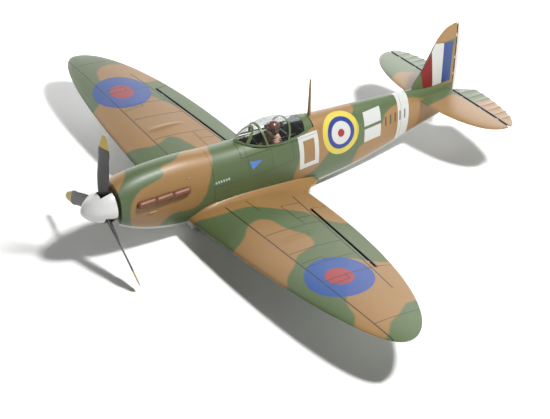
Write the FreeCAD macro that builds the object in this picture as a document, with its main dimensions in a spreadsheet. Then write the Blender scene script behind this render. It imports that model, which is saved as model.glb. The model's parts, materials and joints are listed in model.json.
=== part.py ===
import FreeCAD, Part
import Sketcher
import math
import os
from FreeCAD import Placement, Rotation, Vector

# Small electric warbird: foam airframe, belly-landing, elliptical wing, three-blade propeller.
# Row frame: +X is the left wing, -Y is the nose, +Z is up. The origin is on the flat rest face
# of the belly pan, below the balance point. Lengths are millimetres.

DIMENSIONS = [
    ("wingspan", 800.0),
    ("thrust_height", 78.5),
    ("nose_reach", 200.0),
    ("foam_wall", 3.5),
    ("cowl_wall", 2.0),
    ("cowl_seam", -22.0),
    ("hinge_gap", 3.2),
    ("hinge_radius", 1.2),
    ("pin_radius", 0.5),
    ("pin_clearance", 0.05),
    ("skin_gap", 0.4),
    ("prop_plane", -169.5),
    ("prop_phase", 8.0),
    ("spinner_radius", 23.5),
    ("shaft_radius", 2.0),
    ("bell_radius", 14.0),
    ("firewall_face", -112.0),
    ("box_half_width", 17.0),
    ("box_half_height", 15.0),
    ("joiner_radius", 3.0),
    ("joiner_height", 31.0),
    ("joiner_length", 170.0),
    ("dihedral", 5.04),
    ("root_height", 25.9),
    ("tail_height", 76.9),
    ("elevator_axis", 396.8),
    ("rudder_axis", 405.7),
    ("rudder_rest", 36.0),
    ("link_arm", 11.0),
    ("rudder_rod_rate", 12.3),
    ("rod_radius", 0.6),
    ("horn_thickness", 1.5),
    ("servo_length", 23.0),
    ("servo_height", 22.0),
    ("hatch_front", 24.0),
    ("hatch_rear", 144.0),
    ("hatch_line", 93.5),
    ("canopy_skin", 1.2),
    ("tub_wall", 1.2),
    ("battery_width", 26.0),
    ("battery_length", 70.0),
    ("battery_height", 24.0),
    ("mast_base_radius", 2.4),
    ("mast_tip_radius", 1.0),
    ("mast_height", 54.0),
]

doc = FreeCAD.newDocument("Warbird")
sheet = doc.addObject("Spreadsheet::Sheet", "Dimensions")
for row, (alias, value) in enumerate(DIMENSIONS, start=1):
    sheet.set("A%d" % row, alias)
    sheet.set("B%d" % row, str(value))
    sheet.setAlias("B%d" % row, alias)
doc.recompute()


def size(alias):
    return float(sheet.get(alias))


AXIS_X = Vector(1, 0, 0)
AXIS_Y = Vector(0, 1, 0)
AXIS_Z = Vector(0, 0, 1)
CENTRE = Vector(0, 0, 0)
HALF_SPAN = size("wingspan") / 2
THRUST = size("thrust_height")
SUBPARTS = []


def keep(label, item):
    """Name a finished sub-part."""
    item.Label = label
    SUBPARTS.append(item)
    return item


def made(label, shape):
    """A sub-part whose curved shape comes from Part's own functions."""
    feature = doc.addObject("Part::Feature", label)
    feature.Shape = shape
    return keep(label, feature)


def block(x0, x1, y0, y1, z0, z1):
    return Part.makeBox(x1 - x0, y1 - y0, z1 - z0, Vector(x0, y0, z0))


def rod(start, end, radius):
    return Part.makeCylinder(radius, (end - start).Length, start, end - start)


def mirrored(shape):
    return shape.mirror(CENTRE, AXIS_X)


def prism(outline, start, depth):
    """Extrude a closed outline of points by depth."""
    points = [start + point for point in outline]
    return Part.Face(Part.makePolygon(points + points[:1])).extrude(depth)


def plan_prism(outline):
    """A tall prism over an outline given as (x, y) pairs."""
    return prism([Vector(x, y, 0) for x, y in outline], Vector(0, 0, -60), Vector(0, 0, 320))


def side_prism(outline, x0, x1):
    """A prism across the fuselage from an outline given as (y, z) pairs."""
    return prism([Vector(0, y, z) for y, z in outline], Vector(x0, 0, 0), Vector(x1 - x0, 0, 0))


def between(value, table, column):
    """Straight-line value of one column of a table sorted by its first column."""
    for low, high in zip(table, table[1:]):
        if value <= high[0]:
            share = (value - low[0]) / (high[0] - low[0])
            return low[column] + max(share, 0) * (high[column] - low[column])
    return table[-1][column]


def power(base, exponent):
    return math.copysign(abs(base) ** exponent, base)


# ---------------------------------------------------------------- fuselage

# Stations along the fuselage: y, top, bottom, half width.
FUSELAGE = [
    (-156.0, 109.0, 49.0, 25.7),
    (-146.5, 111.8, 42.5, 26.9),
    (-125.0, 115.3, 31.0, 28.0),
    (-93.0, 116.4, 19.5, 28.7),
    (-57.0, 115.2, 12.5, 29.4),
    (-22.0, 111.0, 9.0, 30.1),
    (14.0, 107.9, 5.5, 30.7),
    (71.0, 108.4, 2.0, 30.6),
    (128.0, 110.8, 1.5, 29.6),
    (170.0, 107.8, 3.0, 26.8),
    (213.0, 104.2, 5.8, 23.5),
    (256.0, 100.4, 12.2, 20.0),
    (299.0, 96.4, 21.0, 16.0),
    (334.0, 93.2, 28.6, 12.8),
    (370.0, 89.2, 35.5, 8.8),
    (404.1, 86.0, 42.0, 5.0),
]
FULLNESS = 2.2
RING_POINTS = 20


def ring(y, top, bottom, half_width):
    """A rounded section of the fuselage as a closed smooth curve."""
    centre = (top + bottom) / 2
    half_height = (top - bottom) / 2
    points = []
    for step in range(RING_POINTS):
        angle = 2 * math.pi * step / RING_POINTS
        across = half_width * power(math.cos(angle), 2 / FULLNESS)
        upward = half_height * power(math.sin(angle), 2 / FULLNESS)
        points.append(Vector(across, y, centre + upward))
    curve = Part.BSplineCurve()
    curve.interpolate(points, PeriodicFlag=True)
    return Part.Wire([curve.toShape()])


def hull(stations, inset=0.0):
    rings = [ring(y, top - inset, bottom + inset, half - inset) for y, top, bottom, half in stations]
    return Part.makeLoft(rings, True, False)


outer_hull = hull(FUSELAGE)
foam_hollow = hull(FUSELAGE[5:14], size("foam_wall"))
cowl_hollow = hull(FUSELAGE[:6], size("cowl_wall"))

# ---------------------------------------------------------------- flying surfaces

AIRFOIL_STEPS = [1.0, 0.9, 0.78, 0.64, 0.5, 0.36, 0.24, 0.14, 0.07, 0.025, 0.005]


def half_thickness(share):
    root = 0.2969 * math.sqrt(share)
    return 5 * (root - 0.126 * share - 0.3516 * share**2 + 0.2843 * share**3 - 0.098 * share**4)


def airfoil(leading, trailing, thickness, camber, place):
    """A closed section; place(y, height) turns chord coordinates into a point."""
    chord = trailing - leading
    upper = []
    lower = []
    for share in AIRFOIL_STEPS:
        middle = camber * 4 * share * (1 - share)
        half = thickness * half_thickness(share)
        y = leading + share * chord
        upper.append(place(y, (middle + half) * chord))
        lower.append(place(y, (middle - half) * chord))
    nose = [place(leading, 0)]
    top_curve = Part.BSplineCurve()
    top_curve.interpolate(upper + nose)
    bottom_curve = Part.BSplineCurve()
    bottom_curve.interpolate(nose + lower[::-1])
    edges = [top_curve.toShape(), bottom_curve.toShape()]
    edges.append(Part.makeLine(lower[0], upper[0]))
    return Part.Wire(edges)


def rounded_end(share, inner_power, outer_power):
    return max(1 - share**inner_power, 0.0) ** (1 / outer_power)


WING_MIDDLE = 1.9
WING_FRONT = 60.3
WING_BACK = 106.2
TIP_CHORD_SHARE = 0.03
ROOT_THICKNESS = 0.13
TIP_THICKNESS = 0.07
WING_CAMBER = 0.02


def wing_leading(x):
    share = max(rounded_end(x / HALF_SPAN, 2.17, 2.274), TIP_CHORD_SHARE)
    return WING_MIDDLE - WING_FRONT * share


def wing_trailing(x):
    share = max(rounded_end(x / HALF_SPAN, 2.299, 1.876), TIP_CHORD_SHARE)
    return WING_MIDDLE + WING_BACK * share


def wing_height(x):
    return size("root_height") + x * math.tan(math.radians(size("dihedral")))


def wing_thickness(x):
    return ROOT_THICKNESS + (TIP_THICKNESS - ROOT_THICKNESS) * x / HALF_SPAN


def wing_section(x):
    height = wing_height(x)
    return airfoil(wing_leading(x), wing_trailing(x), wing_thickness(x), WING_CAMBER,
                   lambda y, rise: Vector(x, y, height + rise))


WING_STATIONS = [8, 40, 80, 130, 185, 235, 280, 318, 350, 373, 388, 396, 399.2, HALF_SPAN]
whole_wing = Part.makeLoft([wing_section(x) for x in WING_STATIONS], True, False)
whole_wing = whole_wing.cut(outer_hull)

TAIL_HALF_SPAN = 133.5
TAIL_FRONT = 58.9
TAIL_BACK = 33.4
TAIL_THICKNESS = 0.065


def tail_leading(x):
    return size("elevator_axis") - TAIL_FRONT * max(rounded_end(x / TAIL_HALF_SPAN, 2.0, 2.408), 0.04)


def tail_trailing(x):
    return size("elevator_axis") + TAIL_BACK * max(rounded_end(x / TAIL_HALF_SPAN, 2.462, 2.369), 0.04)


def tail_section(x):
    return airfoil(tail_leading(x), tail_trailing(x), TAIL_THICKNESS, 0.0,
                   lambda y, rise: Vector(x, y, size("tail_height") + rise))


TAIL_STATIONS = [0, 35, 65, 92, 112, 125, 131, 133, TAIL_HALF_SPAN]
half_tail = Part.makeLoft([tail_section(x) for x in TAIL_STATIONS], True, False)

# Fin and rudder: height, leading edge, trailing edge.
FIN = [
    (56.0, 331.0, 424.0),
    (66.0, 331.0, 432.0),
    (84.0, 331.0, 435.5),
    (102.0, 331.0, 436.0),
    (114.0, 341.0, 436.0),
    (134.0, 352.5, 434.5),
    (146.0, 359.5, 432.5),
    (158.0, 366.5, 429.0),
    (167.5, 374.0, 424.0),
    (174.0, 381.5, 419.0),
    (178.5, 391.5, 414.0),
    (180.3, 400.0, 409.0),
]
FIN_THICKNESS = 0.062


def fin_section(height, leading, trailing):
    return airfoil(leading, trailing, FIN_THICKNESS, 0.0, lambda y, rise: Vector(-rise, y, height))


whole_fin = Part.makeLoft([fin_section(*row) for row in FIN], True, False)

# ---------------------------------------------------------------- hinges and horns

GAP = size("hinge_gap") / 2
LUG = size("hinge_radius")
LUG_HALF = 1.0
LUG_SPACE = 0.3


class HingeLine:
    """A hinge axis with its own frame: along, aft and up."""

    def __init__(self, start, end, aft):
        self.start = start
        self.along = (end - start).normalize()
        self.aft = aft
        self.up = self.along.cross(aft)
        self.length = (end - start).Length
        self.turn = Rotation(self.along, self.aft, self.up, "XYZ")

    def place(self, shape, distance):
        moved = shape.copy()
        moved.Placement = Placement(self.start + self.along * distance, self.turn)
        return moved

    def fixed(self, distances):
        """Lugs of the fixed side, each with its pin."""
        lug = block(-LUG_HALF, LUG_HALF, -GAP, 0, -LUG, LUG)
        lug = lug.fuse(rod(Vector(-LUG_HALF, 0, 0), Vector(LUG_HALF, 0, 0), LUG))
        reach = 3 * LUG_HALF + LUG_SPACE
        lug = lug.fuse(rod(Vector(-reach, 0, 0), Vector(reach, 0, 0), size("pin_radius")))
        lug = lug.removeSplitter()
        return Part.makeCompound([self.place(lug, distance) for distance in distances])

    def moving(self, surface, distances):
        """Add the moving lugs to a control surface."""
        inner = LUG_HALF + LUG_SPACE
        outer = inner + 2 * LUG_HALF
        hole = size("pin_radius") + size("pin_clearance")
        for distance in distances:
            for low, high in ((-outer, -inner), (inner, outer)):
                lug = block(low, high, 0, GAP + 0.5, -LUG, LUG)
                lug = lug.fuse(rod(Vector(low, 0, 0), Vector(high, 0, 0), LUG))
                lug = lug.cut(rod(Vector(low - 1, 0, 0), Vector(high + 1, 0, 0), hole))
                surface = surface.fuse(self.place(lug, distance))
        return surface


SLOT_HALF = 1.15
SLOT_START = 9.9
SLOT_MARGIN = 1.2


def slot_end(most_turn):
    return size("link_arm") / math.cos(math.radians(most_turn)) + SLOT_MARGIN


def slotted_plate(outline, most_turn):
    """A thin plate in the aft/down plane with a radial slot for the link pin."""
    thick = size("horn_thickness")
    plate = prism([Vector(0, y, z) for y, z in outline], Vector(-thick / 2, 0, 0), Vector(thick, 0, 0))
    slot = block(-thick, thick, -SLOT_HALF, SLOT_HALF, -slot_end(most_turn), -SLOT_START)
    return plate.cut(slot)


def horn(most_turn):
    tip = slot_end(most_turn) + 1.5
    outline = [(2.2, 0), (11, 0), (11, -3.5), (2.8, -tip), (-2.8, -tip), (-2.8, -SLOT_START + 1.6)]
    return slotted_plate(outline, most_turn)


def servo_arm(most_turn):
    tip = slot_end(most_turn) + 1.5
    outline = [(3.2, 3.2), (3.2, -2), (2.6, -tip), (-2.6, -tip), (-3.2, -2), (-3.2, 3.2)]
    return slotted_plate(outline, most_turn)


AILERON_TURN = 20.0
ELEVATOR_TURN = 22.0
PIN_REACH = 2.0


def link_rod(start, end, across):
    """A straight push rod with a cross pin at each end."""
    wire = rod(start, end, size("rod_radius"))
    for point in (start, end):
        pin = rod(point - across * 0.3, point + across * 2 * PIN_REACH, 0.9 * size("rod_radius"))
        wire = wire.fuse(pin)
    return wire


# ---------------------------------------------------------------- ailerons

AILERON_ROOT = Vector(100.6, 80.2, 0)
AILERON_TIP = Vector(260.4, 61.7, 0)
AILERON_END = Vector(267.5, 92.0, 0)
AILERON_STEP = 101.7
BEHIND_WING = 122.0


def wing_middle(point):
    """Lift a plan point to the middle of the wing's thickness."""
    chord = wing_trailing(point.x) - wing_leading(point.x)
    share = (point.y - wing_leading(point.x)) / chord
    return Vector(point.x, point.y, wing_height(point.x) + WING_CAMBER * 4 * share * (1 - share) * chord)


plan_along = (AILERON_TIP - AILERON_ROOT).normalize()
plan_aft = AXIS_Z.cross(plan_along)
aileron_line = HingeLine(wing_middle(AILERON_ROOT), wing_middle(AILERON_TIP), plan_aft)


def aileron_outline(offset, side_gap):
    inner = AILERON_ROOT + plan_along * (AILERON_STEP - AILERON_ROOT.x + side_gap) + plan_aft * offset
    outer = AILERON_TIP - plan_along * side_gap + plan_aft * offset
    end = AILERON_END - plan_along * side_gap
    return [(inner.x, inner.y), (outer.x, outer.y), (end.x, end.y), (inner.x, BEHIND_WING)]


AILERON_HINGES = [18.0, 82.0, 146.0]
HORN_DISTANCE = 16.0
SERVO_AHEAD = 44.0

aileron_shape = whole_wing.common(plan_prism(aileron_outline(GAP, 0.8)))
wing_shape = whole_wing.cut(plan_prism(aileron_outline(-GAP, 0.0)))
aileron_horn = aileron_line.place(horn(AILERON_TURN), HORN_DISTANCE).cut(aileron_shape)
aileron_shape = aileron_line.moving(aileron_shape, AILERON_HINGES)
aileron_hinge = aileron_line.fixed(AILERON_HINGES)

servo_centre = aileron_line.start + aileron_line.along * HORN_DISTANCE - aileron_line.aft * SERVO_AHEAD
aileron_arm = servo_arm(AILERON_TURN)
aileron_arm.Placement = Placement(servo_centre, aileron_line.turn)
arm_face = servo_centre + aileron_line.along * 0.75
aileron_arm_pin = rod(arm_face, servo_centre + aileron_line.along * 2.4, 2.2)
aileron_arm = aileron_arm.fuse(aileron_arm_pin)
servo_body = block(2.6, 2.6 + size("servo_height"), -size("servo_length") + 6.5, 6.5, -6, 6)
servo_body.Placement = Placement(servo_centre, aileron_line.turn)
arm_well = block(-2.6, 2.6, -9, 9, -30, 5)
arm_well.Placement = Placement(servo_centre, aileron_line.turn)
link_down = aileron_line.up * -size("link_arm")
link_side = aileron_line.along * -(size("horn_thickness") / 2 + PIN_REACH)
link_start = servo_centre + link_down + link_side
link_end = link_start + aileron_line.aft * SERVO_AHEAD
aileron_rod = link_rod(link_start, link_end, aileron_line.along)

wing_shape = wing_shape.cut(servo_body).cut(arm_well)
joiner_half = size("joiner_length") / 2
joiner_start = Vector(-joiner_half, 0, size("joiner_height"))
joiner_end = Vector(joiner_half, 0, size("joiner_height"))
joiner = rod(joiner_start, joiner_end, size("joiner_radius"))
wing_shape = wing_shape.cut(joiner)

made("wing_left", wing_shape)
made("wing_right", mirrored(wing_shape))
for side, reflect in (("left", lambda shape: shape), ("right", mirrored)):
    made("aileron_%s" % side, reflect(aileron_shape))
    made("aileron_hinges_%s" % side, reflect(aileron_hinge))
    made("aileron_horn_%s" % side, reflect(aileron_horn))
    made("aileron_servo_%s" % side, reflect(servo_body))
    made("aileron_servo_arm_%s" % side, reflect(aileron_arm))
    made("aileron_pushrod_%s" % side, reflect(aileron_rod))

# ---------------------------------------------------------------- tail

ELEVATOR_AXIS = size("elevator_axis")
TAIL_HEIGHT = size("tail_height")
ELEVATOR_HINGES = [34.0, 72.0, 108.0]
ELEVATOR_HORN = -15.2
ELEVATOR_ARM_AHEAD = 190.0
JOINER_WIRE = 1.0
JOINER_BEND = 21.0

elevator_line = HingeLine(Vector(0, ELEVATOR_AXIS, TAIL_HEIGHT),
                          Vector(TAIL_HALF_SPAN, ELEVATOR_AXIS, TAIL_HEIGHT), AXIS_Y)
front_edge = ELEVATOR_AXIS + GAP
elevator_shape = half_tail.common(plan_prism([(11.5, front_edge), (140, front_edge), (140, 445),
                                              (29, 445), (29, 428), (11.5, 404.5)]))
joiner_reach = JOINER_BEND + JOINER_WIRE
elevator_wire = rod(Vector(-joiner_reach, ELEVATOR_AXIS, TAIL_HEIGHT),
                    Vector(joiner_reach, ELEVATOR_AXIS, TAIL_HEIGHT), JOINER_WIRE)
for bend in (-JOINER_BEND, JOINER_BEND):
    elbow = Vector(bend, ELEVATOR_AXIS, TAIL_HEIGHT)
    elevator_wire = elevator_wire.fuse(rod(elbow, elbow + AXIS_Y * 12, 0.9 * JOINER_WIRE))
elevator_shape = elevator_shape.cut(elevator_wire)
elevator_left = elevator_line.moving(elevator_shape, ELEVATOR_HINGES)
elevator_right = mirrored(elevator_left)
elevator_horn = elevator_line.place(horn(ELEVATOR_TURN), ELEVATOR_HORN).cut(elevator_right)
elevator_hinges = elevator_line.fixed(ELEVATOR_HINGES)

whole_tail = half_tail.fuse(mirrored(half_tail)).removeSplitter()
stabilizer_shape = whole_tail.cut(block(-150, 150, ELEVATOR_AXIS - GAP, 460, 50, 100))

RUDDER_AXIS = size("rudder_axis")
RUDDER_TOP = 176.0
RUDDER_BASE = 60.0
RUDDER_HINGES = [16.0, 52.0, 78.0]
RUDDER_HORN = 92.0
RUDDER_ARM_AHEAD = 235.0
RUDDER_MOST = size("rudder_rest")
FIN_BASE = 84.0

rudder_line = HingeLine(Vector(0, RUDDER_AXIS, RUDDER_TOP), Vector(0, RUDDER_AXIS, RUDDER_BASE), AXIS_Y)
rudder_shape = whole_fin.common(block(-10, 10, RUDDER_AXIS + GAP, 450, 50, 190))
rudder_horn = rudder_line.place(horn(RUDDER_MOST), RUDDER_HORN).cut(rudder_shape)
rudder_shape = rudder_line.moving(rudder_shape, RUDDER_HINGES)
fin_shape = whole_fin.common(block(-10, 10, 300, RUDDER_AXIS - GAP, FIN_BASE, 190)).cut(outer_hull)


def deflected(shape, centre):
    """Turn a rudder-side shape to the stored rest angle, trailing edge to the right."""
    return shape.copy().rotate(centre, AXIS_Z, size("rudder_rest"))


rudder_centre = Vector(0, RUDDER_AXIS, 0)
made("stabilizer", stabilizer_shape)
made("fin", fin_shape)
made("elevator_left", elevator_left)
made("elevator_right", elevator_right)
made("elevator_joiner", elevator_wire)
made("elevator_horn", elevator_horn)
made("rudder", deflected(rudder_shape, rudder_centre))
made("rudder_horn", deflected(rudder_horn, rudder_centre))
made("tail_hinges", Part.makeCompound([elevator_hinges, mirrored(elevator_hinges),
                                       rudder_line.fixed(RUDDER_HINGES)]))

# ---------------------------------------------------------------- tail servos and push rods


def tail_linkage(line, distance, ahead, most_turn, rest_turn):
    """Servo body, arm and push rod that drive one tail surface."""
    centre = line.start + line.along * distance - line.aft * ahead
    arm = servo_arm(most_turn)
    arm = arm.fuse(rod(Vector(0.75, 0, 0), Vector(2.4, 0, 0), 2.2))
    arm.Placement = Placement(centre, line.turn)
    if rest_turn:
        arm.rotate(centre, line.along, -rest_turn)
    body = block(2.6, 2.6 + size("servo_height"), 6.5 - size("servo_length"), 6.5, -6, 6)
    body.Placement = Placement(centre, line.turn)
    shift = line.aft * (-size("rudder_rod_rate") * math.radians(rest_turn))
    reach = size("horn_thickness") / 2 + PIN_REACH
    begin = centre - line.up * size("link_arm") - line.along * reach + shift
    finish = begin + line.aft * ahead
    return body, arm, link_rod(begin, finish, line.along), begin, finish


rudder_servo, rudder_arm, rudder_rod, rudder_from, rudder_to = tail_linkage(
    rudder_line, RUDDER_HORN, RUDDER_ARM_AHEAD, RUDDER_MOST, size("rudder_rest"))
elevator_servo, elevator_arm, elevator_rod, elevator_from, elevator_to = tail_linkage(
    elevator_line, ELEVATOR_HORN, ELEVATOR_ARM_AHEAD, ELEVATOR_TURN, 0.0)
for name, parts in (("rudder", (rudder_servo, rudder_arm, rudder_rod)),
                    ("elevator", (elevator_servo, elevator_arm, elevator_rod))):
    made(name + "_servo", parts[0])
    made(name + "_servo_arm", parts[1])
    made(name + "_pushrod", parts[2])

ROD_BORE = 1.5
tray = block(-18, 18, 148, 222, 56.4, rudder_servo.BoundBox.ZMin)
riser = block(-12, 9, 190.5, 213, rudder_servo.BoundBox.ZMin, elevator_servo.BoundBox.ZMin)
made("servo_tray", tray.fuse(riser).cut(rod(Vector(0, 183, 50), Vector(0, 183, 62), 4)))

# ---------------------------------------------------------------- fuselage shells, cowl, wing joint

SKIN_GAP = size("skin_gap")
SEAM = size("cowl_seam")
HATCH_FRONT = size("hatch_front")
HATCH_REAR = size("hatch_rear")
HATCH_LINE = size("hatch_line")
MAST_Y = 148.5
MAST_FOOT = 108.0

mast = doc.addObject("Part::Cone", "antenna_mast")
mast.setExpression("Radius1", "Dimensions.mast_base_radius")
mast.setExpression("Radius2", "Dimensions.mast_tip_radius")
mast.setExpression("Height", "Dimensions.mast_height + 2")
mast.Placement = Placement(Vector(0, MAST_Y, MAST_FOOT), Rotation())
doc.recompute()
keep("antenna_mast", mast)

shell = outer_hull.cut(foam_hollow).common(block(-60, 60, SEAM + SKIN_GAP / 2, 420, -5, 130))
hatch_space = block(-60, 60, HATCH_FRONT, HATCH_REAR, HATCH_LINE, 140)
deck_space = block(-60, 60, HATCH_FRONT + SKIN_GAP, HATCH_REAR - SKIN_GAP, HATCH_LINE + SKIN_GAP, 140)
deck_blank = shell.common(deck_space)
shell = shell.cut(hatch_space).cut(whole_tail).cut(mast.Shape).cut(joiner)
bore_start = Vector(-20, ELEVATOR_AXIS, TAIL_HEIGHT)
bore_end = Vector(20, ELEVATOR_AXIS, TAIL_HEIGHT)
wire_bore = rod(bore_start, bore_end, JOINER_WIRE + 0.06)
shell = shell.cut(wire_bore)
for begin, finish in ((rudder_from, rudder_to), (elevator_from, elevator_to)):
    shell = shell.cut(rod(begin, finish, ROD_BORE))
made("fuselage_left_half", shell.common(block(0, 60, -200, 450, -20, 200)))
made("fuselage_right_half", shell.common(block(-60, 0, -200, 450, -20, 200)))

cowl = outer_hull.cut(cowl_hollow).common(block(-60, 60, -170, SEAM - SKIN_GAP / 2, -5, 130))
cowl_front_wall = outer_hull.common(block(-60, 60, -170, FUSELAGE[0][0] + size("cowl_wall"), -5, 130))
cowl = cowl.fuse(cowl_front_wall).cut(rod(Vector(0, -170, THRUST), Vector(0, -150, THRUST), 16))
made("nose_cowl", cowl.removeSplitter())


def hull_half_width(y, z):
    """Half width of the fuselage skin at a height."""
    top = between(y, FUSELAGE, 1)
    bottom = between(y, FUSELAGE, 2)
    rise = abs(z - (top + bottom) / 2) / ((top - bottom) / 2)
    return between(y, FUSELAGE, 3) * (1 - min(rise, 1) ** FULLNESS) ** (1 / FULLNESS)


# Wing fillet: y, height on the fuselage side, outer x, height at the outer edge.
FILLET = [
    (-55.0, 32.0, 30.0, 29.5),
    (-35.0, 43.5, 34.0, 39.0),
    (-10.0, 45.5, 37.0, 42.2),
    (20.0, 45.0, 40.0, 42.4),
    (50.0, 42.5, 44.0, 39.6),
    (80.0, 39.0, 50.0, 35.4),
    (100.0, 36.5, 58.0, 32.6),
    (109.0, 35.0, 56.0, 30.8),
    (121.0, 32.5, 46.0, 28.6),
    (135.0, 28.5, 37.0, 25.6),
    (147.0, 24.5, 30.0, 22.6),
]
FILLET_DEPTH = 3.0
FILLET_ROOT = 5.0
FILLET_SAG = 0.3


def fillet_section(y, side_height, edge_x, edge_height):
    side_x = hull_half_width(y, side_height) - 0.5
    inner_x = hull_half_width(y, side_height) - FILLET_ROOT
    upper = Vector(side_x, y, side_height)
    outer = Vector(edge_x, y, edge_height)
    middle = (upper + outer) * 0.5
    middle = middle + (Vector(side_x, y, edge_height) - middle) * FILLET_SAG * 2
    low_outer = Vector(edge_x, y, edge_height - FILLET_DEPTH)
    low_inner = Vector(inner_x, y, edge_height - FILLET_DEPTH)
    top_inner = Vector(inner_x, y, side_height)
    edges = [Part.Arc(upper, middle, outer).toShape()]
    corners = [outer, low_outer, low_inner, top_inner, upper]
    edges += [Part.makeLine(start, end) for start, end in zip(corners, corners[1:])]
    return Part.Wire(edges)


fillet = Part.makeLoft([fillet_section(*row) for row in FILLET], True, True)
fillet = fillet.cut(outer_hull).cut(whole_wing)
fillet = max(fillet.Solids, key=lambda solid: solid.Volume)
made("wing_fillet_left", fillet)
made("wing_fillet_right", mirrored(fillet))

made("wing_joiner_tube", joiner)
PAN_HALF_WIDTH = 22.0
PAN_FLAT = 9.0
PAN_TOP = 24.0
pan_floor = [Vector(-PAN_FLAT, 0, 0), Vector(PAN_FLAT, 0, 0)]
pan_edges = [Part.makeLine(pan_floor[0], pan_floor[1])]
pan_edges.append(Part.Arc(pan_floor[1], Vector(18, 0, 5.5), Vector(PAN_HALF_WIDTH, 0, 15)).toShape())
pan_points = ((1, 15), (1, PAN_TOP), (-1, PAN_TOP), (-1, 15))
pan_corners = [Vector(side * PAN_HALF_WIDTH, 0, z) for side, z in pan_points]
pan_edges += [Part.makeLine(start, end) for start, end in zip(pan_corners, pan_corners[1:])]
pan_edges.append(Part.Arc(pan_corners[-1], Vector(-18, 0, 5.5), pan_floor[0]).toShape())
keel = Part.Face(Part.Wire(pan_edges)).extrude(Vector(0, 200, 0))
keel.translate(Vector(0, -60, 0))
pan = side_prism([(-52, 11), (-42, 0), (112, 0), (130, 2.5), (130, PAN_TOP), (-52, PAN_TOP)], -40, 40)
pan = pan.common(keel).cut(outer_hull).cut(whole_wing).cut(mirrored(whole_wing))
made("belly_pan", max(pan.Solids, key=lambda solid: solid.Volume))

radiator = side_prism([(14, 17), (22, 12.5), (62, 12.5), (80, 24), (80, 33), (14, 33)], -101, -69)
radiator = radiator.cut(block(-98, -72, 10, 17, 15.5, 22.5)).cut(mirrored(whole_wing))
made("radiator_housing", max(radiator.Solids, key=lambda solid: solid.Volume))
cooler = rod(Vector(84, 22, 22), Vector(84, 66, 24), 7).cut(whole_wing)
made("oil_cooler", max(cooler.Solids, key=lambda solid: solid.Volume))

STACK_RADIUS = 5.3
STACK_LENGTH = 25.0
STACK_FRONT = -136.0
STACK_DROP = 0.7
STACK_OVERLAP = 3.5
capsules = []
for index in range(3):
    front = STACK_FRONT + index * STACK_LENGTH
    height = THRUST + 2.5 - index * STACK_DROP
    centre_line = hull_half_width(front + STACK_LENGTH / 2, height) + 0.6
    start = Vector(centre_line, front + STACK_RADIUS, height)
    end = Vector(centre_line, front + STACK_LENGTH - STACK_RADIUS + STACK_OVERLAP, height)
    capsule = rod(start, end, STACK_RADIUS).fuse(Part.makeSphere(STACK_RADIUS, start))
    capsules.append(capsule.fuse(Part.makeSphere(STACK_RADIUS, end)))
stack = capsules[0].multiFuse(capsules[1:]).cut(outer_hull)
made("exhaust_stack_left", stack)
made("exhaust_stack_right", mirrored(stack))

# ---------------------------------------------------------------- native solids: boxes, bodies


def box_part(label, length, width, height, corner):
    """A Part::Box whose sides are sheet expressions."""
    box = doc.addObject("Part::Box", label)
    box.setExpression("Length", length)
    box.setExpression("Width", width)
    box.setExpression("Height", height)
    box.Placement = Placement(corner, Rotation())
    return keep(label, box)


def plane_of(body, role):
    return next(feature for feature in body.Origin.OriginFeatures if feature.Role == role)


def new_sketch(body, name, role, lift=0.0):
    sketch = body.newObject("Sketcher::SketchObject", name)
    sketch.AttachmentSupport = [(plane_of(body, role), "")]
    sketch.MapMode = "FlatFace"
    sketch.AttachmentOffset = Placement(Vector(0, 0, lift), Rotation())
    return sketch


def add_profile(sketch, corners):
    """Closed polygon whose corners are (x, y) numbers or sheet expressions."""
    first = sketch.GeometryCount
    count = len(corners)
    seeds = []
    for x, y in corners:
        seeds.append([evaluate(x), evaluate(y)])
    for index in range(count):
        start = Vector(*seeds[index], 0)
        end = Vector(*seeds[(index + 1) % count], 0)
        sketch.addGeometry(Part.LineSegment(start, end), False)
    for index in range(count):
        following = first + (index + 1) % count
        sketch.addConstraint(Sketcher.Constraint("Coincident", first + index, 2, following, 1))
    for index, corner in enumerate(corners):
        for kind, axis, rule in (("DistanceX", -2, corner[0]), ("DistanceY", -1, corner[1])):
            value = evaluate(rule)
            if abs(value) < 1e-9:
                sketch.addConstraint(Sketcher.Constraint("PointOnObject", first + index, 1, axis))
                continue
            number = sketch.addConstraint(Sketcher.Constraint(kind, -1, 1, first + index, 1, value))
            if isinstance(rule, str):
                sketch.setExpression("Constraints[%d]" % number, rule)


def evaluate(rule):
    """Value of a number or of a sheet expression."""
    return float(sheet.evalExpression(rule)) if isinstance(rule, str) else float(rule)


def turned_body(label, corners, centre):
    """A body turned about the thrust line from (radius, y) corners."""
    body = doc.addObject("PartDesign::Body", label)
    sketch = new_sketch(body, label + "_profile", "XY_Plane")
    add_profile(sketch, corners)
    turn = body.newObject("PartDesign::Revolution", label + "_turn")
    turn.Profile = sketch
    turn.ReferenceAxis = (sketch, ["V_Axis"])
    turn.Angle = 360
    body.Placement = Placement(centre, Rotation())
    return keep(label, body)


def rectangle(half_width, half_height):
    """Corners of a centred rectangle from two sheet expressions."""
    left = "-(%s)" % half_width
    bottom = "-(%s)" % half_height
    return [(left, bottom), (half_width, bottom), (half_width, half_height), (left, half_height)]


# ---------------------------------------------------------------- power train

HUB_BACK = -163.5
HUB_FRONT = -175.0
HUB_RADIUS = 8.5
SHAFT_FRONT = -186.0
THRUST_POINT = Vector(0, 0, THRUST)
RUNNING = "Dimensions.shaft_radius + 0.06"
BELL = "Dimensions.bell_radius"
SHAFT = "Dimensions.shaft_radius"

BOX_WALL = 2.5
PLYWOOD = 3.0


def square_tube(half_width, half_height, front, rear):
    """A block along the thrust line."""
    return block(-half_width, half_width, front, rear, THRUST - half_height, THRUST + half_height)


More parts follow.
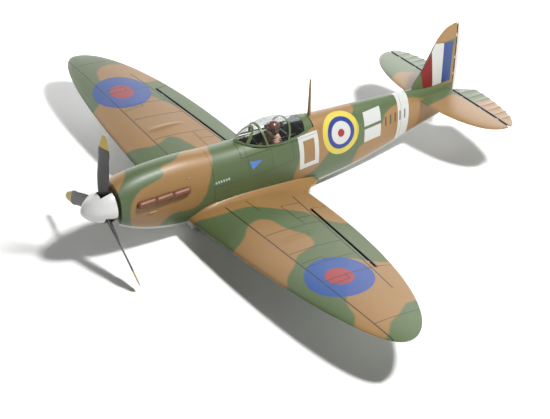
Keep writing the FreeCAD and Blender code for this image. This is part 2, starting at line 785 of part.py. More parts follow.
side_reach = size("box_half_width")
rise_reach = size("box_half_height")
box_rear = SEAM + SKIN_GAP / 2
box_front = size("firewall_face") + PLYWOOD
motor_box = square_tube(side_reach, rise_reach, box_front, box_rear)
battery_bay = square_tube(side_reach - BOX_WALL, rise_reach - BOX_WALL, box_front - 1, box_rear + 4)
former = foam_hollow.common(block(-60, 60, box_rear, box_rear + PLYWOOD, -5, 130))
made("motor_box", motor_box.fuse(former).cut(battery_bay).removeSplitter())
firewall = doc.addObject("PartDesign::Body", "firewall")
firewall_outline = new_sketch(firewall, "firewall_outline", "XZ_Plane")
add_profile(firewall_outline, rectangle("Dimensions.box_half_width + 3", "Dimensions.box_half_height + 3"))
firewall_pad = firewall.newObject("PartDesign::Pad", "firewall_pad")
firewall_pad.Profile = firewall_outline
firewall_pad.Length = PLYWOOD
firewall.Placement = Placement(Vector(0, box_front, THRUST), Rotation())
keep("firewall", firewall)
screw_hole = new_sketch(firewall, "screw_hole_outline", "XZ_Plane")
screw_hole.addGeometry(Part.Circle(Vector(8, 8, 0), AXIS_Z, 1.5), False)
hole_cut = firewall.newObject("PartDesign::Pocket", "screw_hole")
hole_cut.Profile = screw_hole
hole_cut.Type = "ThroughAll"
hole_cut.Midplane = True
hole_ring = firewall.newObject("PartDesign::PolarPattern", "screw_holes")
hole_ring.Originals = [hole_cut]
hole_ring.Axis = (screw_hole, ["N_Axis"])
hole_ring.Angle = 360
hole_ring.Occurrences = 4
firewall.Tip = hole_ring
SPINNER_BASE = -160.0
SPINNER_SKIN = 1.0
BELL_INSIDE = BELL + " - 1.5"
PLATE = "Dimensions.spinner_radius - 1.2"
stator_profile = [(RUNNING, -112), (12, -112), (12, -115.5), (9.5, -115.5), (9.5, -134), (RUNNING, -134)]
bell_profile = [(SHAFT, -140), (BELL, -140), (BELL, -118)]
bell_profile += [(BELL_INSIDE, -118), (BELL_INSIDE, -137), (SHAFT, -137)]
shaft_profile = [(0, SHAFT_FRONT), (SHAFT, SHAFT_FRONT), (SHAFT, -114), (0, -114)]
plate_profile = [(SHAFT, SPINNER_BASE), (PLATE, SPINNER_BASE), (PLATE, HUB_BACK), (SHAFT, HUB_BACK)]
turned_body("motor_stator", stator_profile, THRUST_POINT)
turned_body("motor_bell", bell_profile, THRUST_POINT)
turned_body("motor_shaft", shaft_profile, THRUST_POINT)
turned_body("spinner_backplate", plate_profile, THRUST_POINT)


def spinner_solid(radius, tip):
    """A blunt ogive turned about the thrust line, from its base to its tip."""
    points = []
    for step in range(13):
        share = math.sin(math.pi / 2 * step / 12)
        forward = SPINNER_BASE + share * (tip - SPINNER_BASE)
        points.append(Vector(radius * (1 - share**1.75) ** 0.62, forward, 0))
    curve = Part.BSplineCurve()
    curve.interpolate(points)
    edges = [curve.toShape(), Part.makeLine(points[-1], Vector(0, SPINNER_BASE, 0)),
             Part.makeLine(Vector(0, SPINNER_BASE, 0), points[0])]
    solid = Part.Face(Part.Wire(edges)).revolve(CENTRE, AXIS_Y, 360)
    solid.translate(THRUST_POINT)
    return solid


# Blade stations: distance from the thrust line, chord, thickness, pitch angle.
BLADE = [
    (7.0, 9.0, 5.5, 58.0),
    (18.0, 11.5, 4.4, 48.0),
    (34.0, 15.0, 3.4, 36.0),
    (56.0, 17.6, 2.6, 26.0),
    (78.0, 17.6, 2.0, 20.0),
    (96.0, 14.6, 1.5, 17.0),
    (106.0, 10.4, 1.2, 16.0),
    (110.5, 6.2, 0.9, 15.5),
    (112.0, 2.6, 0.7, 15.0),
]


def blade_section(reach, chord, thickness, pitch):
    across = math.cos(math.radians(pitch))
    back = math.sin(math.radians(pitch))
    return airfoil(-chord / 2, chord / 2, thickness / chord, 0.03,
                   lambda y, rise: Vector(y * across + rise * back, y * back - rise * across, reach))


blade = Part.makeLoft([blade_section(*row) for row in BLADE], True, False)
propeller = rod(Vector(0, HUB_BACK, 0), Vector(0, HUB_FRONT, 0), HUB_RADIUS)
spinner = spinner_solid(size("spinner_radius"), -size("nose_reach"))
spinner_hollow = spinner_solid(size("spinner_radius") - SPINNER_SKIN, -size("nose_reach") + SPINNER_SKIN)
spinner = spinner.cut(spinner_hollow)
for index in range(3):
    angle = size("prop_phase") + 120 * index
    turned = blade.copy()
    turned.translate(Vector(0, size("prop_plane"), 0))
    turned.rotate(CENTRE, AXIS_Y, angle)
    propeller = propeller.fuse(turned)
    opening = block(-6.5, 6.5, size("prop_plane") - 6.5, SPINNER_BASE + 1, 12, 40)
    opening.rotate(CENTRE, AXIS_Y, angle)
    opening.translate(THRUST_POINT)
    spinner = spinner.cut(opening)
propeller.translate(THRUST_POINT)
propeller = propeller.cut(rod(Vector(0, -190, THRUST), Vector(0, -150, THRUST), size("shaft_radius")))
made("propeller", propeller)
made("spinner_cone", spinner)

# ---------------------------------------------------------------- electronics

battery_corner = Vector(-size("battery_width") / 2, -104, THRUST - 12.5)
battery_sides = ["Dimensions.battery_" + side for side in ("width", "length", "height")]
box_part("battery", *battery_sides, battery_corner)
box_part("speed_controller", "22", "38", "7", Vector(-11, -84, THRUST + size("box_half_height")))

# ---------------------------------------------------------------- cockpit hatch

SILL = [(26, 109.5), (42, 103.5), (62, 98.5), (92, 94.6), (118, 96.5), (142, 101)]
CANOPY_BASE = 88.0
# Canopy stations: y, top, half width.
CANOPY = [
    (25.0, 108.6, 10.0),
    (34.0, 112.2, 15.5),
    (44.0, 117.4, 19.2),
    (54.0, 121.8, 21.4),
    (66.0, 124.8, 22.8),
    (82.0, 125.8, 23.4),
    (98.0, 122.8, 23.2),
    (112.0, 117.8, 22.6),
    (130.0, 113.0, 21.6),
    (143.0, 111.0, 20.4),
]
CANOPY_TOP = 130.0
RAIL = 2.2


def canopy_solid(inset):
    rings = [ring(y, top - inset, 2 * CANOPY_BASE - top + inset, half - inset) for y, top, half in CANOPY]
    return Part.makeLoft(rings, True, False)


def above_sill(rise):
    outline = [(y, z + rise) for y, z in SILL]
    return side_prism(outline + [(SILL[-1][0], CANOPY_TOP), (SILL[0][0], CANOPY_TOP)], -40, 40)


def slab(foot, crest, thickness):
    """A sloping slice right across the canopy, from a low (y, z) point to a high one."""
    dy = crest[0] - foot[0]
    dz = crest[1] - foot[1]
    length = math.hypot(dy, dz)
    side_y = dz / length * thickness / 2
    side_z = -dy / length * thickness / 2
    outline = [(foot[0] - side_y, foot[1] - side_z), (foot[0] + side_y, foot[1] + side_z)]
    outline += [(crest[0] + side_y, crest[1] + side_z), (crest[0] - side_y, crest[1] - side_z)]
    return side_prism(outline, -40, 40)


glazing = canopy_solid(0.0).cut(canopy_solid(size("canopy_skin"))).common(above_sill(0.0))
bars = above_sill(0.0).cut(above_sill(RAIL))
# The raked windscreen arch, drawn in plan.
ARCH_OUTSIDE = [(16.0, 22), (15.6, 36), (12.6, 46.5), (7.0, 53.6), (0, 56.2)]
ARCH_INSIDE = [(12.6, 22), (12.4, 35.4), (10.0, 44.6), (5.6, 50.8), (0, 53.0)]
arch = None
for outline in (ARCH_OUTSIDE, ARCH_INSIDE):
    across = outline + [(-x, y) for x, y in outline[-2::-1]]
    column = plan_prism(across)
    arch = column if arch is None else arch.cut(column)
bars = bars.fuse(arch)
# The front and rear hoops of the hood and the front edge of the fairing.
for foot, crest in (
    ((68.0, 92.0), (59.5, 130.0)),
    ((98.0, 92.0), (109.0, 124.0)),
    ((126.5, 92.0), (134.0, 120.0)),
):
    bars = bars.fuse(slab(foot, crest, 3.2))
bars = bars.fuse(side_prism([(126.5, 92), (142, 92), (142, 120), (134, 120)], -40, 40))
canopy_frame = glazing.common(bars)
clear = glazing.cut(bars)
made("canopy_frame", canopy_frame)
made("windscreen_glass", clear.common(side_prism([(20, 90), (68, 92), (59.5, 130), (20, 130)], -40, 40)))
hood_lane = [(68, 92), (98, 92), (109, 124), (109, 130), (59.5, 130)]
made("hood_glass", clear.common(side_prism(hood_lane, -40, 40)))
rear_lane = [(98, 92), (142, 92), (142, 130), (109, 130), (109, 124)]
made("rear_glass", clear.common(side_prism(rear_lane, -40, 40)))
deck = deck_blank.cut(side_prism(SILL + [(143.8, 101), (143.8, 140), (20, 140), (20, 109.5)], -60, 60))
deck = deck.cut(canopy_solid(0.0).common(above_sill(0.0)))
made("hatch_deck", deck)

TUB_FRONT = 40.0
TUB_REAR = 132.0
TUB_HALF = 17.0
TUB_BASE = 70.0
FLANGE = 0.6
tub_wall = size("tub_wall")
tub_top = HATCH_LINE + SKIN_GAP
FLOOR = TUB_BASE + tub_wall
well_half = TUB_HALF - tub_wall
well = block(-well_half, well_half, TUB_FRONT + tub_wall, TUB_REAR - tub_wall, FLOOR, 110)
tub = block(-TUB_HALF, TUB_HALF, TUB_FRONT, TUB_REAR, TUB_BASE, tub_top + FLANGE)
flange = foam_hollow.common(block(-30, 30, TUB_FRONT - 4, TUB_REAR + 4, tub_top, tub_top + FLANGE))
tub = tub.fuse(flange).cut(well)
panel = block(-14, 14, 56.5, 58, FLOOR, 96).fuse(rod(Vector(0, 56.5, 88), Vector(0, 58, 88), 14))
seat = block(-9.5, 9.5, 78, 104, FLOOR, FLOOR + 4).fuse(block(-9.5, 9.5, 104, 106.5, FLOOR, 99))
made("cockpit_tub", tub.fuse(panel).fuse(seat).removeSplitter())
head = Part.makeSphere(1.0)
stretch = FreeCAD.Matrix()
stretch.scale(9.2, 10.0, 10.4)
head = head.transformGeometry(stretch)
head.translate(Vector(0, 88, 108.6))
torso_stretch = FreeCAD.Matrix()
torso_stretch.scale(12.5, 8.5, 17.0)
torso = Part.makeSphere(1.0).transformGeometry(torso_stretch)
torso.translate(Vector(0, 92, 84))
torso = torso.common(block(-20, 20, 70, 103.8, FLOOR + 4.05, 130)).cut(head)
made("pilot_head", head)
made("pilot_body", torso)

# ---------------------------------------------------------------- checks and export

doc.recompute()
for item in doc.Objects:
    for fault in ("Invalid", "Error"):
        if fault in item.State:
            raise RuntimeError("%s is %s" % (item.Label, fault))
os.makedirs("parts", exist_ok=True)
for item in SUBPARTS:
    if item.Shape.isNull() or not item.Shape.isValid():
        raise RuntimeError("%s has no valid shape" % item.Label)
    item.Shape.exportStep("parts/%s.step" % item.Label)
print("%d sub-parts" % len(SUBPARTS))
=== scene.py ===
import json
import math
from functools import cached_property, reduce

import bmesh
import bpy
import numpy as np
from mathutils import Matrix, Vector


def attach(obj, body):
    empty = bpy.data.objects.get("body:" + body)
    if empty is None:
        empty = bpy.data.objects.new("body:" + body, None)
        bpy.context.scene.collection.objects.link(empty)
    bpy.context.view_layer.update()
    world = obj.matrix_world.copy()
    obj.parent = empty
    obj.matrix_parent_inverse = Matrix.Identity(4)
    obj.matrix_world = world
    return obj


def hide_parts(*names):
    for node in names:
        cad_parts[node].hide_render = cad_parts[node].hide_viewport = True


# A foam electric warbird on a white sweep. Shapes are worked out in millimetres in the row frame
# (+X left wing, -Y nose, +Z up) and paint outlines in metres of the full-size aircraft, measured
# from the spinner tip: x to the left, y aft, z above the thrust line.

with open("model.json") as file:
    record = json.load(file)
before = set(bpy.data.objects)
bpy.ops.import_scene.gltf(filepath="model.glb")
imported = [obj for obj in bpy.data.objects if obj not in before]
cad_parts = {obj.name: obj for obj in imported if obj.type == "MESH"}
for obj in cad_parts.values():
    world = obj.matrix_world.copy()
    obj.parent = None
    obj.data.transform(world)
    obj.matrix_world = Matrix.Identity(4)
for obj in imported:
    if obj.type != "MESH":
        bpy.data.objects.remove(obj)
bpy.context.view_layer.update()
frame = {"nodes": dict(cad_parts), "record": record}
MM = 0.001
SCALE = 71.257
NOSE = -200.0
THRUST = 78.5


def along(y):
    return SCALE * y + NOSE


def level(z):
    return SCALE * z + THRUST


def plan_outline(points):
    """Full-size (x, y) plan points in millimetres."""
    return np.array([(SCALE * x, along(y)) for x, y in points])


def side_outline(points):
    """Full-size (y, z) side points in millimetres."""
    return np.array([(along(y), level(z)) for y, z in points])


# ---------------------------------------------------------------- meshes


def quads(rows, columns, closed, keep=None):
    """Faces of a grid, left out where keep(i, j) is false; closed joins each row's ends."""
    faces = []
    for i in range(rows - 1):
        for j in range(columns if closed else columns - 1):
            if keep is None or keep(i, j):
                k = (j + 1) % columns
                faces.append((i * columns + j, i * columns + k, (i + 1) * columns + k, (i + 1) * columns + j))
    return faces


class Shape:
    """Patches of points and faces, in millimetres, that make one mesh."""

    def __init__(self):
        self.points = []
        self.faces = []
        self.values = {}
        self.count = 0

    def add(self, points, faces, **values):
        """Add a patch; values are per-point numbers kept as attributes."""
        points = np.asarray(points, float).reshape(-1, 3)
        for name in set(self.values) | set(values):
            held = self.values.setdefault(name, [np.zeros(self.count)])
            held.append(np.asarray(values.get(name, np.zeros(len(points))), float).ravel())
        self.points.append(points)
        self.faces += [tuple(int(i) + self.count for i in face) for face in faces]
        self.count += len(points)

    def grid(self, points, closed=False, caps=False, **values):
        """A sheet of quads over rows of points; caps closes its first and last rows."""
        rows, columns = points.shape[:2]
        faces = quads(rows, columns, closed)
        if caps:
            faces.append(tuple(range(columns))[::-1])
            faces.append(tuple(range((rows - 1) * columns, rows * columns)))
        self.add(points, faces, **values)

    def build(self, name, body, material, replaces=(), sharp=38.0, weld=0.0):
        """Make the object, ride it on its body and give it its finish."""
        mesh = bpy.data.meshes.new(name)
        points = np.concatenate(self.points) * MM
        mesh.from_pydata(points.tolist(), [], self.faces)
        for label, values in self.values.items():
            attribute = mesh.attributes.new(label, "FLOAT", "POINT")
            attribute.data.foreach_set("value", np.concatenate(values).astype(np.float32))
        work = bmesh.new()
        work.from_mesh(mesh)
        if weld:
            bmesh.ops.remove_doubles(work, verts=work.verts, dist=weld * MM)
            bmesh.ops.dissolve_degenerate(work, edges=work.edges, dist=0.5 * weld * MM)
        bmesh.ops.recalc_face_normals(work, faces=work.faces)
        work.to_mesh(mesh)
        work.free()
        mesh.shade_smooth()
        mesh.set_sharp_from_angle(angle=math.radians(sharp))
        mesh.materials.append(material)
        piece = bpy.data.objects.new(name, mesh)
        bpy.context.scene.collection.objects.link(piece)
        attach(piece, body)
        if replaces:
            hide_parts(*replaces)


def smooth_curve(stations, column, values):
    """Natural cubic through one column of a table sorted by its first column."""
    table = np.array(stations, float)
    x, y = table[:, 0], table[:, column]
    steps = np.diff(x)
    slopes = np.diff(y) / steps
    count = len(x)
    system = np.eye(count)
    right = np.zeros(count)
    for i in range(1, count - 1):
        system[i, i - 1] = steps[i - 1]
        system[i, i] = 2 * (steps[i - 1] + steps[i])
        system[i, i + 1] = steps[i]
        right[i] = 6 * (slopes[i] - slopes[i - 1])
    bend = np.linalg.solve(system, right)
    values = np.asarray(values, float)
    i = np.clip(np.searchsorted(x, values) - 1, 0, count - 2)
    near, far = values - x[i], x[i + 1] - values
    cubic = (bend[i] * far**3 + bend[i + 1] * near**3) / (6 * steps[i])
    low = y[i] / steps[i] - bend[i] * steps[i] / 6
    high = y[i + 1] / steps[i] - bend[i + 1] * steps[i] / 6
    return cubic + low * far + high * near


def rounded_outline(points):
    """Cut an outline's corners three times over, which makes it smooth."""
    points = np.asarray(points, float)
    for _ in range(3):
        ahead = np.roll(points, -1, axis=0)
        points = np.stack([0.75 * points + 0.25 * ahead, 0.25 * points + 0.75 * ahead], 1).reshape(-1, 2)
    return points


def inside_distance(points, outline):
    """Distance to an outline, positive inside it."""
    best = np.full(len(points), np.inf)
    inside = np.zeros(len(points), bool)
    for start, end in zip(outline, np.roll(outline, -1, axis=0)):
        edge = end - start
        offset = points - start
        share = np.clip((offset @ edge) / max(edge @ edge, 1e-9), 0, 1)
        best = np.minimum(best, np.hypot(*(offset - share[:, None] * edge).T))
        crosses = (start[1] > points[:, 1]) != (end[1] > points[:, 1])
        reach = edge[0] * (points[:, 1] - start[1]) / (edge[1] if edge[1] else 1e-9) + start[0]
        inside ^= crosses & (points[:, 0] < reach)
    return np.where(inside, best, -best)


def nearest_patch(points, outlines):
    """The largest inside distance over several outlines with rounded corners."""
    return np.max([inside_distance(points, rounded_outline(outline)) for outline in outlines], axis=0)


# ---------------------------------------------------------------- paint outlines

PORT_BROWN = [
    [(0, 1.5), (0.48, 1.8), (0.52, 2.02), (0.64, 2.18), (0.73, 2.36), (0.77, 2.6), (0.8, 2.9), (0.88, 3.08),
     (1.02, 3.22), (1.16, 3.38), (1.3, 3.52), (1.42, 3.68), (1.6, 3.8), (1.85, 3.88), (2.08, 4.02),
     (2.18, 4.2), (2.2, 4.6), (0, 5.2)],
    [(1.8, 1.8), (1.77, 2.05), (1.68, 2.28), (1.56, 2.42), (1.42, 2.52), (1.34, 2.66), (1.31, 2.86),
     (1.38, 3.0), (1.56, 3.06), (1.8, 3.08), (1.98, 3.15), (2.12, 3.24), (2.34, 3.28), (2.52, 3.24),
     (2.6, 3.08), (2.64, 2.85), (2.72, 2.68), (2.88, 2.54), (2.98, 2.38), (3.08, 2.22), (3.3, 2.1),
     (3.36, 1.8)],
    [(4.84, 2.1), (4.78, 2.36), (4.62, 2.5), (4.36, 2.54), (4.1, 2.68), (3.8, 3.0), (3.4, 3.3), (3.18, 3.4),
     (3.3, 3.54), (3.44, 3.68), (3.58, 3.84), (3.7, 4.2), (4.9, 4.1), (4.84, 3.75), (4.78, 3.48), (4.84, 3.3),
     (4.98, 3.14), (5.03, 2.96), (5.12, 2.8), (5.28, 2.66), (5.36, 2.5), (5.5, 2.2)],
]
STARBOARD_BROWN = [
    [(0, 1.5), (0.78, 1.8), (0.86, 2.2), (0.95, 2.6), (0.92, 2.95), (0.75, 3.2), (0, 3.4)],
    [(2.08, 1.8), (2.03, 2.1), (1.93, 2.3), (1.84, 2.48), (1.82, 2.66), (1.9, 2.8), (1.96, 2.94), (1.9, 3.06),
     (1.76, 3.14), (1.5, 3.2), (1.25, 3.3), (1.05, 3.48), (1.0, 3.66), (1.15, 3.84), (1.7, 3.87), (2.6, 3.78),
     (2.95, 3.68), (3.1, 3.56), (3.4, 3.46), (3.8, 3.2), (3.85, 2.7), (3.72, 2.42), (3.6, 2.25), (3.5, 2.1),
     (3.46, 1.8)],
    [(4.3, 2.76), (4.52, 2.8), (4.74, 2.88), (4.88, 3.02), (4.94, 3.18), (4.92, 3.36), (4.85, 3.54),
     (4.8, 3.8), (4.1, 4.1), (3.96, 3.85), (3.95, 3.62), (4.02, 3.46), (4.1, 3.2)],
]
SIDE_BROWN = [
    [(0.2, 0.4), (0.42, 0.42), (0.56, 0.54), (0.64, 0.72), (0.6, 0.95), (0.2, 1.0)],
    [(1.34, 0.7), (1.7, 0.75), (1.8, 1.1), (2.25, 1.1), (2.36, 0.7), (2.46, 0.55), (2.46, 0.3), (2.42, 0.05),
     (2.38, -0.18), (2.28, -0.34), (2.14, -0.44), (1.96, -0.46), (1.74, -0.39), (1.56, -0.41), (1.4, -0.5),
     (1.24, -0.6), (1.1, -1.0), (0.7, -0.9), (0.77, -0.24), (0.77, -0.06), (0.8, 0.12), (0.88, 0.27),
     (1.06, 0.38), (1.34, 0.43), (1.45, 0.5), (1.42, 0.6)],
    [(4.74, 1.4), (4.7, 0.7), (4.69, 0.36), (4.6, 0.18), (4.52, -0.07), (4.46, -0.32), (4.38, -0.5),
     (4.3, -0.75), (4.6, -0.7), (4.82, -0.65), (4.98, -0.56), (5.14, -0.44), (5.3, -0.25), (5.5, 0.0),
     (5.74, 0.28), (5.82, 0.42), (5.72, 0.56), (5.6, 0.66), (5.55, 1.4)],
    [(5.9, -0.6), (6.1, -0.5), (6.32, -0.45), (6.52, -0.35), (6.59, -0.16), (6.63, -0.02), (6.76, 0.06),
     (7.0, 0.11), (7.26, 0.14), (7.45, 0.08), (7.62, -0.02), (8.6, 0.0), (8.7, -1.6), (5.6, -1.6)],
]
PORT_TAIL_BROWN = [
    [(0.42, 7.2), (0.39, 7.7), (0.37, 8.0), (0.3, 8.2), (0.42, 8.32), (0.7, 8.36), (0.8, 8.46), (0.86, 8.95),
     (2.2, 8.95), (2.2, 7.2)],
]
STARBOARD_TAIL_BROWN = [
    [(0, 7.2), (0.75, 7.2), (0.82, 7.58), (0.95, 7.76), (0.97, 7.95), (0.86, 8.12), (0.72, 8.26), (0.5, 8.4),
     (0, 8.42)],
]
FIN_BROWN = [
    [(7.5, 1.08), (9.0, 1.08), (9.0, 1.7), (7.5, 1.7)],
    [(8.405, -0.5), (9.0, -0.5), (9.0, 1.3), (8.405, 1.3)],
    [(7.72, 0.03), (8.6, 0.03), (8.6, 0.17), (7.7, 0.17)],
]


def plan_brown(points, port, starboard):
    """Brown distance in plan from the outlines of the side that each point is on."""
    plan = np.stack([np.abs(points[:, 0]), points[:, 1]], 1)
    found = [nearest_patch(plan, [plan_outline(outline) for outline in group]) for group in (port, starboard)]
    return np.where(points[:, 0] > 0, *found)


def wing_brown(points):
    return plan_brown(points, PORT_BROWN, STARBOARD_BROWN)


def tail_brown(points):
    return plan_brown(points, PORT_TAIL_BROWN, STARBOARD_TAIL_BROWN)


# The side pattern lies on a sheet beside the body, and wraps over the spine on a slant.
PATTERN_SHIFT = 0.7175
PATTERN_RISE = 0.843
SHEET_REACH = 0.38
SHEET_END = 9.0
SHEET_TAPER = 5.6


def side_brown(points):
    """Brown distance on the body."""
    x, y, z = points.T
    sheet = SHEET_REACH * SCALE * np.clip((along(SHEET_END) - y) / (SHEET_TAPER * SCALE), 0.1, 1)
    pattern = np.stack([y - PATTERN_SHIFT * (sheet - x), z + PATTERN_RISE * (sheet - x)], 1)
    return nearest_patch(pattern, [side_outline(outline) for outline in SIDE_BROWN])


def fin_brown(points):
    return nearest_patch(points[:, 1:], [side_outline(outline) for outline in FIN_BROWN])


# ---------------------------------------------------------------- lifting surfaces

HALF_SPAN = 400.0
DIHEDRAL = math.tan(math.radians(5.04))
HINGE_GAP = 1.6
END_GAP = 0.8
AILERON_ROOT = (100.6, 80.2)
AILERON_TIP = (260.4, 61.7)
AILERON_END = (267.5, 92.0)
AILERON_STEP = 101.7
WING_ROOT = 16.0
WING_AXIS = 1.9
WING_LEVEL = 25.9
CAMBER = 0.08
ROOT_THICKNESS = 0.13
THINNING = 0.06
WELD = 0.002

# An edge's reach from its axis at the root, the two exponents of its curve, and its least share.
WING_LEAD = (-60.3, 2.17, 2.274, 0.03)
WING_TRAIL = (106.2, 2.299, 1.876, 0.03)

# Where each wing's blister has its middle: x from the centre line and y.
BLISTERS = {1: (155.0, 25.0), -1: (164.0, 19.0)}
BLISTER_REACH = 28.0
BLISTER_WIDTH = 7.5
BLISTER_HEIGHT = 1.5


def curved_edge(share, axis, reach, inner, outer, least):
    """The y of a plan edge at a share of the half span."""
    return axis + reach * np.maximum(np.maximum(1 - np.abs(share) ** inner, 0) ** (1 / outer), least)


def wing_front(x):
    return curved_edge(x / HALF_SPAN, WING_AXIS, *WING_LEAD)


def wing_back(x):
    return curved_edge(x / HALF_SPAN, WING_AXIS, *WING_TRAIL)


def section_half(share):
    """Half thickness of the section for a chord and thickness of one."""
    share = np.clip(share, 0, 1)
    return 5 * (0.2969 * np.sqrt(share) - 0.126 * share - 0.3516 * share**2 + 0.2843 * share**3
                - 0.098 * share**4)


def wing_point(x, y, upper, side):
    front, back = wing_front(x), wing_back(x)
    chord = back - front
    share = (y - front) / chord
    thick = ROOT_THICKNESS - THINNING * x / HALF_SPAN
    rise = CAMBER * share * (1 - share) * chord
    half = thick * section_half(share) * chord
    z = WING_LEVEL + x * DIHEDRAL + rise + (half if upper else -half)
    if upper:
        centre, middle = BLISTERS[side]
        length = np.clip((y - middle) / BLISTER_REACH, -1, 1)
        width = BLISTER_WIDTH * (1 - 0.45 * length)
        swell = np.clip(1 - length**2, 0, 1) ** 0.8 * np.exp(-(((x - centre) / (0.5 * width)) ** 2))
        z = z + BLISTER_HEIGHT * swell
    return np.stack([side * x, y, z], -1)


def flat_grid(inner, outer, front, back, spans, chords, tip=False):
    """Plan coordinates of a patch: inner and outer edges are functions of y, front and back of x."""
    s = np.linspace(0, 1, spans)[:, None]
    if tip:
        s = np.sin(s * math.pi / 2)
    t = (1 - np.cos(np.linspace(0, math.pi, chords)))[None, :] / 2
    y = np.zeros((spans, chords))
    for _ in range(6):
        x = inner(y) + s * (outer(y) - inner(y))
        y = front(x) + t * (back(x) - front(x))
    return x, y


EDGE_WRAP = 1.0


def surface_patch(shape, grid, point, paint, front):
    """A closed patch with upper and lower skins over a flat grid, pale below from behind the front on."""
    x, y = grid
    upper = point(x, y, True)
    lower = point(x, y, False)
    ring = np.concatenate([upper[:, ::-1], lower], axis=1)
    pale = np.clip((y - front(x) - EDGE_WRAP) / EDGE_WRAP, 0, 1)
    below = np.concatenate([np.zeros(x.shape), pale], axis=1)
    shape.grid(ring, closed=True, caps=True, brown=paint(ring.reshape(-1, 3)), lower=below)


def constant(value):
    return lambda place: value + 0 * place


def hinge_y(x):
    slope = (AILERON_TIP[1] - AILERON_ROOT[1]) / (AILERON_TIP[0] - AILERON_ROOT[0])
    return AILERON_ROOT[1] + slope * (x - AILERON_ROOT[0])


def slanted_end(y):
    share = np.clip((y - AILERON_TIP[1]) / (AILERON_END[1] - AILERON_TIP[1]), 0, 1)
    return AILERON_TIP[0] + share * (AILERON_END[0] - AILERON_TIP[0])


def make_wing(side, material, aileron_material):
    """The fixed wing in three patches round its aileron, and the aileron."""
    label = "left" if side > 0 else "right"

    def point(x, y, upper):
        return wing_point(x, y, upper, side)

    wing = Shape()
    wing_parts = [
        flat_grid(constant(WING_ROOT), constant(AILERON_STEP), wing_front, wing_back, 44, 70),
        flat_grid(constant(AILERON_STEP), constant(AILERON_TIP[0]), wing_front,
                  lambda x: hinge_y(x) - HINGE_GAP, 80, 60),
        flat_grid(slanted_end, constant(HALF_SPAN), wing_front, wing_back, 80, 70, tip=True),
    ]
    for grid in wing_parts:
        surface_patch(wing, grid, point, wing_brown, wing_front)
    wing.build(f"wing_{label}_skin", "airframe", material, (f"wing_{label}",), weld=WELD)
    aileron = Shape()
    grid = flat_grid(constant(AILERON_STEP + END_GAP), lambda y: slanted_end(y) - END_GAP,
                     lambda x: hinge_y(x) + HINGE_GAP, wing_back, 80, 22)
    surface_patch(aileron, grid, point, wing_brown, wing_front)
    aileron.build(f"aileron_{label}_skin", f"{label}_aileron", aileron_material,
                  (f"aileron_{label}",), weld=WELD)


TAIL_AXIS = 396.8
TAIL_HALF = 133.5
TAIL_LEVEL = 76.9
TAIL_THICKNESS = 0.065
TAIL_LEAD = (-58.9, 2.0, 2.408, 0.04)
TAIL_TRAIL = (33.4, 2.462, 2.369, 0.04)
TAIL_RIBS = np.array([27.0, 43.0, 57.0, 71.0, 84.5, 98.0, 112.0])
TAIL_SCALLOP = (1.1, 14.0)
ELEVATOR_ROOT = ((404.5, 428.0), (11.5, 29.0))
SWELL_START = 3.0
SWELL_FADE = 8.0
RIB_HEIGHT = 0.45
RIB_WIDTH = 0.9
FABRIC_SAG = 0.25
FABRIC_REACH = 7.0
LEAST_CHORD = 0.5


def tail_front(x):
    return curved_edge(x / TAIL_HALF, TAIL_AXIS, *TAIL_LEAD)


def tail_back(x):
    return curved_edge(x / TAIL_HALF, TAIL_AXIS, *TAIL_TRAIL)


def rib_gap(position, ribs):
    """Distance to the nearest rib."""
    return np.min(np.abs(position[..., None] - ribs), axis=-1)


def scalloped(position, ribs, depth, pitch):
    """How far fabric pulls in from the trailing edge between ribs."""
    share = np.clip(rib_gap(position, ribs) / (pitch / 2), 0, 1)
    return depth * np.sin(share * math.pi / 2) ** 0.8


def rib_swell(position, ribs, y, axis):
    """How far fabric stands over its ribs and sags between them, behind the hinge."""
    gap = rib_gap(position, ribs)
    sag = FABRIC_SAG * np.clip(gap / FABRIC_REACH, 0, 1) ** 2
    fade = np.clip((y - axis - SWELL_START) / SWELL_FADE, 0, 1)
    return (RIB_HEIGHT * np.exp(-((gap / RIB_WIDTH) ** 2)) - sag) * fade


def fabric_edge(back, position, ribs, scallop, axis):
    """A control surface's scalloped trailing edge, kept behind its hinge gap."""
    return np.maximum(back - scalloped(position, ribs, *scallop), axis + HINGE_GAP + LEAST_CHORD)


def make_tail(material, fabric):
    """The stabilizer from tip to tip, and both elevator halves."""
    def skin(x, y, upper, side, ribbed):
        front, back = tail_front(x), tail_back(x)
        chord = back - front
        half = TAIL_THICKNESS * section_half((y - front) / chord) * chord
        if ribbed:
            half = half + rib_swell(x, TAIL_RIBS, y, TAIL_AXIS)
        return np.stack([side * x, y, TAIL_LEVEL + (half if upper else -half)], -1)

    stabilizer = Shape()
    x, y = flat_grid(constant(0.0), constant(TAIL_HALF), tail_front,
                     lambda x: np.minimum(tail_back(x), TAIL_AXIS - HINGE_GAP), 60, 40, tip=True)
    rows = [np.concatenate([skin(x, y, True, side, False)[:, ::-1], skin(x, y, False, side, False)], axis=1)
            for side in (-1, 1)]
    ring = np.concatenate([rows[0][::-1][:-1], rows[1]])
    below = np.concatenate([np.zeros(x.shape), np.ones(x.shape)], axis=1)
    below = np.concatenate([below[::-1][:-1], below])
    stabilizer.grid(ring, closed=True, caps=True, brown=tail_brown(ring.reshape(-1, 3)), lower=below)
    stabilizer.build("stabilizer_skin", "airframe", material, ("stabilizer",), weld=WELD)

    for side, label in ((1, "left"), (-1, "right")):
        elevator = Shape()
        grid = flat_grid(lambda y: np.interp(y, *ELEVATOR_ROOT), constant(TAIL_HALF - END_GAP),
                         constant(TAIL_AXIS + HINGE_GAP),
                         lambda x: fabric_edge(tail_back(x), x, TAIL_RIBS, TAIL_SCALLOP, TAIL_AXIS), 240, 24)
        surface_patch(elevator, grid, lambda x, y, upper: skin(x, y, upper, side, True), tail_brown,
                      tail_front)
        elevator.build(f"elevator_{label}_skin", "elevator", fabric, (f"elevator_{label}",),
                       weld=WELD)


